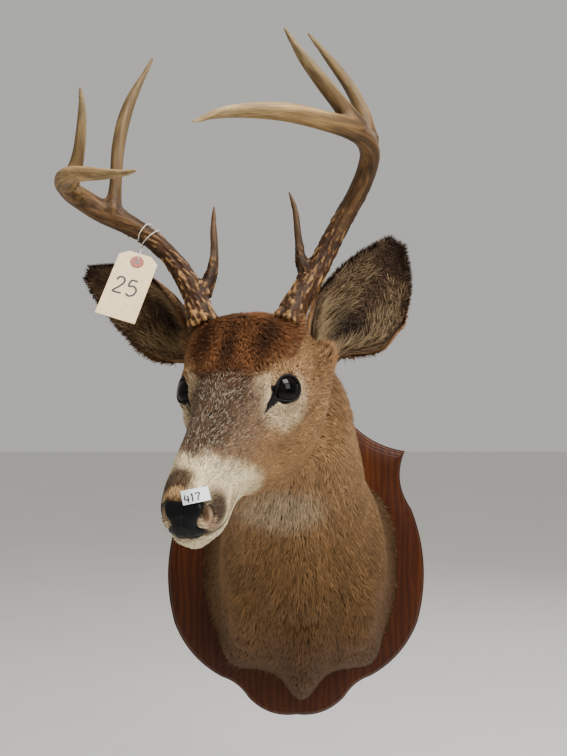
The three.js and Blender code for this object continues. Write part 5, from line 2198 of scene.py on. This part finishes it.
@dataclass(frozen=True)
class Coat:
    """Tufts over head, neck and shoulders, laid along the body and marked like the skin."""

    seed: int = 1867
    cover: float = 7.2  # layers of tufts over the skin
    face_regions: int = 5  # how many of the regions, from the first, are the head's
    white_tip: str = "b4a68e"  # the pale hairs of forehead and bridge
    bare_from: float = 0.35  # how bare the skin is where no hair grows
    # Ends between which chance picks a tuft's share of its length, width and rise.
    length_chance: tuple[float, float] = (0.75, 1.2)
    width_chance: tuple[float, float] = (0.75, 1.3)
    rise_chance: tuple[float, float] = (0.62, 1.0)

    def lengths(self, points: Array, head: Array) -> Array:
        """Length of the hair: shortest on the muzzle, longest at brisket and board.

        Args:
            points: in the row's frame.
            head: the same in the head's.
        Returns:
            A length for each.
        """
        along = np.interp(head[:, 0], (-250, -110, -60, -20, 20, 60, 110, 150, 180),
                          (16, 13, 10, 8.5, 7, 5.2, 4.2, 3.4, 2.4))
        below = np.interp(head[:, 2], (-330, -200, -145, -115), (17, 15, 12, 6))
        length = np.maximum(along, below)
        crown = CROWN.share(head)
        length = length + crown * 1.2 + 6 * ear_root_share(points)
        return length + 2 * step(-45, -24, points[:, 1])

    def lie(self, points: Array, head: Array, out: Array) -> Array:
        """Which way the hair lies at each root, in the skin's plane.

        Args:
            points: in the row's frame.
            head: the same in the head's.
            out: the skin's outward direction at each.
        Returns:
            A direction for each.
        """
        ahead, left, up = HEAD.basis()
        side = np.tanh(head[:, 1] / 14)[:, None]
        low = (1 - step(-30, 25, head[:, 2]))[:, None]
        face = -ahead + left * side * (0.3 + 0.1 * low) - up * low * 0.45
        whorl = head - [-46, 0, 40]
        radial = whorl[:, :1] * ahead + whorl[:, 1:2] * left
        face = toward(face, unit(radial) * 1.4, CROWN.share(head))
        neck = np.stack(
            [0.004 * (points[:, 0] - 3), np.full(len(points), 0.7), np.full(len(points), -0.7)],
            axis=1,
        )
        flare = step(-52, -22, points[:, 1])[:, None]
        neck = neck + flare * (np.array([0.0, 0.55, 0.1]) + out * 0.12)
        way = toward(neck, face, step(-105, -55, head[:, 0]) * step(-128, -85, head[:, 2]))
        for sign in SIGNS:
            away = head - FACE.eye_centre(sign)
            gap = np.linalg.norm(away, axis=1)
            near = np.exp(-((gap - 16) / 11) ** 2) * (gap < 60)
            way = toward(way, unit(away @ HEAD.basis()) * 1.2, near)
            duct = spline(np.array(DUCT) * [1, sign, 1], np.linspace(0, 1, 12))
            gaps = head[:, None] - duct[None]
            size = np.linalg.norm(gaps, axis=2)
            best = gaps[np.arange(len(head)), size.argmin(axis=1)]
            near = np.exp(-((size.min(axis=1) / 6) ** 2))
            way = toward(way, unit(best @ HEAD.basis()), near)
        # About an ear's foot the hair runs up over the foot toward the tip.
        for ear in EARS:
            onto = unit(np.array(ear.tip) - ear.root)
            way = toward(way, 1.2 * onto, step(0.15, 0.7, ear_root_share(points, (ear,))))
        turn = 0.18 * grain(points, 21.0, 61) + 0.07 * grain(points, 7.5, 62)
        turn = turn + np.random.default_rng(self.seed + 1).normal(0, 0.1, len(points))
        return turned(laid_flat(way, out), out, turn)

    def locks(self, points: Array, head: Array) -> Array:
        """Slow waves drawn out along the lie of the hair, which part it into locks.

        Args:
            points: in the row's frame.
            head: the same in the head's.
        Returns:
            A number from about -1 to 1 for each.
        """
        on_head = (head[:, :1] > -90) & (head[:, 2:] > -110)
        turn = np.arctan2(np.abs(points[:, 0]), points[:, 2] - neck_middle(points))
        slant = 80 * turn - points[:, 1] * np.sin(turn)
        side = 400 * np.sign(points[:, 0])
        turned = np.column_stack([slant, 0.2 * points[:, 1], side])
        place = np.where(on_head, head * [0.25, 1, 1], turned)
        return 0.7 * grain(place, 2.6, 64) + 0.5 * grain(place, 6.5, 65)

    def unwrap(self, points: Array, head: Array, on_head: bool) -> Array:
        """Map places: round and along the head, or round and along neck and shoulders.

        Args:
            points: in the row's frame.
            head: the same in the head's.
            on_head: which of the two it is.
        Returns:
            Two numbers for each.
        """
        if on_head:
            round_it = np.arctan2(head[:, 1], head[:, 2] + 20)
            along = (head[:, 0] + 135) / 330
        else:
            round_it = np.arctan2(points[:, 0], points[:, 2] - neck_middle(points))
            along = (-10 - points[:, 1]) / 340
        place = np.stack([round_it / (2 * math.pi) + 0.5, along], axis=1)
        return on_map(place)

    def build(self, skin: Skin, points: Array, faces: list[Array]) -> None:
        """Scatters the roots by area and cover, then makes the pieces region by region.

        Args:
            skin: the finished skin.
            points: its points.
            faces: its faces.
        """
        rng = np.random.default_rng(self.seed)
        normals = point_normals(points, faces)
        thirds = [f[:, [0, 1, 2]] for f in faces] + [f[:, [0, 2, 3]] for f in faces if f.shape[1] > 3]
        third = np.vstack(thirds)
        a, b, c = (points[third[:, k]] for k in range(3))
        middle = (a + b + c) / 3
        area = np.linalg.norm(np.cross(b - a, c - a), axis=1) / 2
        keep = middle[:, 1] < skin.back - 0.4
        length = self.lengths(middle, HEAD.to_head(middle))
        amount = area * keep * self.cover / (length * self.widths(length))
        total = int(amount.sum())
        pick = np.searchsorted(np.cumsum(amount) / amount.sum(), rng.random(total))
        pick = np.minimum(pick, len(third) - 1)
        share = rng.random((total, 2))
        share = np.where(share.sum(axis=1, keepdims=True) > 1, 1 - share, share)
        weights = np.column_stack([1 - share.sum(axis=1), share])
        root = np.einsum("nk,nkx->nx", weights, points[third[pick]])
        out = unit(np.einsum("nk,nkx->nx", weights, normals[third[pick]]))
        head = HEAD.to_head(root)
        hairy = skin.bare(root) < self.bare_from
        pad = (NosePad().inside(head) < 0.2) & (head[:, 0] > 160)
        chosen = hairy & ~pad
        root, out, head = root[chosen], out[chosen], head[chosen]
        length = self.lengths(root, head)
        width = self.widths(length) * rng.uniform(*self.width_chance, len(root))
        gaps = [np.linalg.norm(head - FACE.eye_centre(sign), axis=1) for sign in SIGNS]
        eye_gap = np.minimum(*gaps)
        length = length * (0.4 + 0.6 * step(15, 36, eye_gap))
        length = length * rng.uniform(*self.length_chance, len(root))
        locks = self.locks(root, head)
        rise = coat_depth(root) * rng.uniform(*self.rise_chance, len(root))
        rise = rise + 1.3 * np.maximum(locks, 0) * step(4, 12, length)
        rise = rise + 1.5 * ear_root_share(root)
        rise = np.minimum(rise, (0.55 - 0.13 * step(-200, -60, root[:, 1])) * length)
        LOG.info("coat: %d tufts", len(root))
        tufts = Tufts(root, self.lie(root, head, out), out, length, width, rise)
        colour = coat_colour(root) * (1 + 0.22 * locks)[:, None]
        colour = colour * rng.normal(1, 0.2, len(root)).clip(0.5, 1.7)[:, None]
        # Painted shade: the tufts darken toward the board.
        colour = colour * (1 - 0.12 * step(-160, -60, root[:, 1]))[:, None]
        white = rng.random(len(root)) < 0.36 * grizzle_share(root)
        dark = ~white & (rng.random(len(root)) < 0.5 * grizzle_share(root))
        colour[white] = linear(self.white_tip) * rng.uniform(0.6, 1.15, (int(white.sum()), 1))
        tufts.width[white] *= 0.52
        colour[dark] *= 0.5
        on_head = (head[:, 0] > -90) & (head[:, 2] > -110)
        high, ahead, muzzle = head[:, 2] > 8, head[:, 0] > 18, head[:, 0] > 100
        top, cheek = on_head & high, on_head & ~high & ~muzzle
        neck, shoulder = (~on_head & near for near in (root[:, 1] < -190, root[:, 1] >= -190))
        left = head[:, 1] > 0
        neck_left, shoulder_left = root[:, 0] > -25, root[:, 0] > 0
        regions = {
            "coat_face_top": top & ahead,
            "coat_crown": top & ~ahead,
            "coat_muzzle": on_head & ~high & muzzle,
            "coat_cheek_left": cheek & left,
            "coat_cheek_right": cheek & ~left,
            "coat_neck_left": neck & neck_left,
            "coat_neck_right": neck & ~neck_left,
            "coat_shoulder_left": shoulder & shoulder_left,
            "coat_shoulder_right": shoulder & ~shoulder_left,
        }
        for number, (name, part) in enumerate(regions.items()):
            face = number < self.face_regions
            place = self.unwrap(root[part], head[part], face)
            slot = "face_coat" if face else "coat"
            self.piece(name, tufts.part(part), colour[part], slot, place)

    def widths(self, length: Array) -> Array:
        """Width of a tuft of a given length."""
        return np.clip(0.4 + 0.055 * length, 0.6, 1.25)

    def piece(
        self, name: str, tufts: Tufts, colour: Array, slot: str, place: Array,
        dark: float = 0.64, light: float = 1.24,
    ) -> None:
        """Meshes one region's tufts, in pieces that keep within the limit of triangles.

        Args:
            name: the first piece's name; those after it have a number too.
            tufts: the tufts.
            colour: linear colour of each.
            slot: the record's material slot.
            place: map place of each.
            dark: how much of the colour is left at the root.
            light: how much more of it the tip has.
        """
        most = TRIANGLE_LIMIT // 6
        for number, start in enumerate(range(0, len(tufts.root), most)):
            chosen = np.arange(start, min(start + most, len(tufts.root)))
            part = tufts.part(chosen)
            points, faces = part.mesh()
            # Hair that reaches the board lies along it, and keeps its thickness.
            board = np.tile([-20.6, -20.9, -20.9, -21.6, -20.8], len(part.root))
            points[:, 1] = np.minimum(points[:, 1], board)
            label = name if number == 0 else f"{name}_{number + 1}"
            add_piece(
                label, points, [faces], COAT, slot,
                colour=part.colours(colour[chosen], dark, light),
                patches=part.patches(place[chosen]),
            )


@dataclass(frozen=True)
class EarCoat:
    """Hair of one ear: close on its back, dark along its rim and long inside."""

    ear: Ear
    seed: int
    # Painted light: scale of the inner hair's colour, which lightens the right ear's shaded inner face.
    inner_painted_light: float = 1.0
    back_count: int = 7200
    inner_count: int = 5000
    long_count: int = 2200
    rim_count: int = 2200
    long_root: str = "4a3826"  # colours of the long hair, between which chance picks
    long_pale: str = "947d5c"

    def roots(self, u: Array, v: Array, depth: Array) -> tuple[Array, Array, Array, Array]:
        """Roots on a face of the sheet, its outward direction, and its ways to tip and side.

        Args:
            u: from 0 at the ear's root to 1 at its tip.
            v: from -1 to 1 across.
            depth: 0 inside, 1 outside.
        Returns:
            The four, one row to a root.
        """
        d = 1e-3
        root = self.ear.sheet(u, v, depth)
        to_tip = unit(self.ear.sheet(u + d, v, depth) - self.ear.sheet(u - d, v, depth))
        to_side = unit(self.ear.sheet(u, v + d, depth) - self.ear.sheet(u, v - d, depth))
        out = unit(self.ear.sheet(u, v, depth + 0.5) - self.ear.sheet(u, v, depth - 0.5))
        out = np.where(depth[:, None] < 0.5, -out, out)
        return root, out, to_tip, to_side

    def layer(self, u: Array, v: Array, depth: float, spread: Array, length: Array,
              width: float, rise: Array, mess: float, rng: np.random.Generator) -> Tufts:
        """One layer of hair on a face.

        Args:
            u: from 0 at the root to 1 at the tip.
            v: from -1 to 1 across.
            depth: 0 for the inner face, 1 for the outer.
            spread: how far the hair turns aside, as steps across to one toward the tip.
            length: its length.
            width: its middling width.
            rise: how high its tips stand.
            mess: how unevenly it lies, in radians.
            rng: the source of chance.
        Returns:
            The tufts.
        """
        root, out, to_tip, to_side = self.roots(u, v, np.full(len(u), depth))
        way = laid_flat(to_tip + to_side * spread[:, None], out)
        turn = rng.normal(0, mess, len(u)) + mess * grain(root, 9.0, self.seed)
        way = turned(way, out, turn)
        wide = width * rng.uniform(0.7, 1.3, len(u))
        return Tufts(root, way, out, length * rng.uniform(0.7, 1.2, len(u)), wide, rise)

    def build(self) -> None:
        """Makes the layers and joins them as one piece."""
        rng = np.random.default_rng(self.seed)
        layers, colours, places = [], [], []

        def add(made: Tufts, u: Array, v: Array, depth: float, colour: Array) -> None:
            """Keeps a layer with its colours and its places on the map.

            Args:
                made: the layer.
                u: its places along.
                v: and across.
                depth: 0 inside, 1 outside.
                colour: of each tuft.
            """
            layers.append(made)
            # Painted light: the inner face's hair is scaled by the ear's own amount.
            tone = self.inner_painted_light if depth < 0.5 else 1.0
            colours.append(colour * tone * rng.normal(1, 0.2, len(u)).clip(0.5, 1.6)[:, None])
            place = np.stack([(v + 1) / 4 + (0.5 if depth > 0.5 else 0), u], axis=1)
            places.append(on_map(place))

        def spots(count: int, low: float, high: float) -> tuple[Array, Array]:
            """Random places on the sheet, as many to an area at its narrow as at its wide.

            Args:
                count: how many at most.
                low: the lowest u.
                high: the highest.
            Returns:
                Their u and v.
            """
            u = rng.uniform(low, high, count * 2)
            keep = rng.random(count * 2) < smooth(self.ear.widths, u) / 54
            u = u[keep][:count]
            return u, rng.uniform(-0.99, 0.99, len(u))

        u, v = spots(self.back_count, 0.0, 0.99)
        made = self.layer(u, v, 1.0, v * 0.35, np.full(len(u), 8.5), 1.2, 1.6 * np.ones(len(u)),
                          0.16, rng)
        add(made, u, v, 1.0, ear_colour(u, v, np.ones(len(u)), made.root))
        u, v = spots(self.inner_count, 0.02, 0.98)
        made = self.layer(u, v, 0.0, v * 0.9, np.full(len(u), 7.0), 0.85, 1.5 * np.ones(len(u)),
                          0.3, rng)
        add(made, u, v, 0.0, ear_colour(u, v, np.zeros(len(u)), made.root))
        # Long pale hair grows from both edges across the hollow.
        u = 0.03 + 0.72 * rng.random(self.long_count) ** 1.4
        inner = -self.ear.side.value
        v = inner * np.sign(rng.uniform(-0.55, 1, len(u))) * rng.uniform(0.3, 0.97, len(u))
        length = 25 * (1 - 0.55 * u)
        made = self.layer(u, v, 0.0, -np.sign(v) * 0.35, length, 0.65,
                          rng.uniform(1.0, 4.5, len(u)), 0.35, rng)
        tone = (0.5 + 0.5 * grain(made.root, 7.0, 71) + rng.normal(0, 0.25, len(u))).clip(0, 1)
        pale = toward(linear(self.long_root), self.long_pale, tone)
        # Painted shade darkens the long hair deep in the hollow.
        add(made, u, v, 0.0, pale * (1 - 0.6 * canal_share(u, v))[:, None])
        # The rim bristles with short dark hair.
        u = rng.uniform(0.1, 0.995, self.rim_count)
        v = np.sign(rng.uniform(-1, 1, len(u))) * rng.uniform(0.93, 1.0, len(u))
        made = self.layer(u, v, 1.0, np.sign(v) * 1.1, 7 + 3 * step(0.6, 0.2, u), 0.8,
                          0.9 * np.ones(len(u)), 0.4, rng)
        rim = ear_colour(u, np.sign(v), np.ones(len(u)), made.root)
        outer = np.where(np.sign(v) == inner, 0.0, 0.25)
        warm = step(0.55, 0.2, u - outer)[:, None]
        add(made, u, v, 1.0, rim * (1 - warm) + linear("74502f") * warm)
        names = ("root", "way", "out", "length", "width", "rise")
        every = Tufts(*(np.concatenate([getattr(t, n) for t in layers]) for n in names))
        name, colour, place = f"coat_ear_{self.ear.side.word}", np.vstack(colours), np.vstack(places)
        Coat().piece(name, every, colour, "ear_coat", place, dark=0.55, light=1.25)


def main() -> None:
    """Builds the studio, the string and then every sub-assembly in order."""
    logging.basicConfig(level=logging.INFO, format="%(name)s %(message)s")
    Studio().build()
    TagOnString().build()
    Board().build()
    for antler in (LEFT_ANTLER, RIGHT_ANTLER):
        AntlerPiece(antler).build()
    skin = Skin()
    points, faces = skin.build()
    for side in Side:
        Eye(side).build()
    NosePad().build()
    Label().build(skin.outside)
    Coat().build(skin, points, faces)
    for number, ear in enumerate(EARS):
        # The right ear's inner hair is painted lighter, as painted light on its shaded face.
        EarCoat(ear, 400 + number, 1.0 if ear.side is Side.LEFT else 2.0).build()


if __name__ == "__main__":
    main()
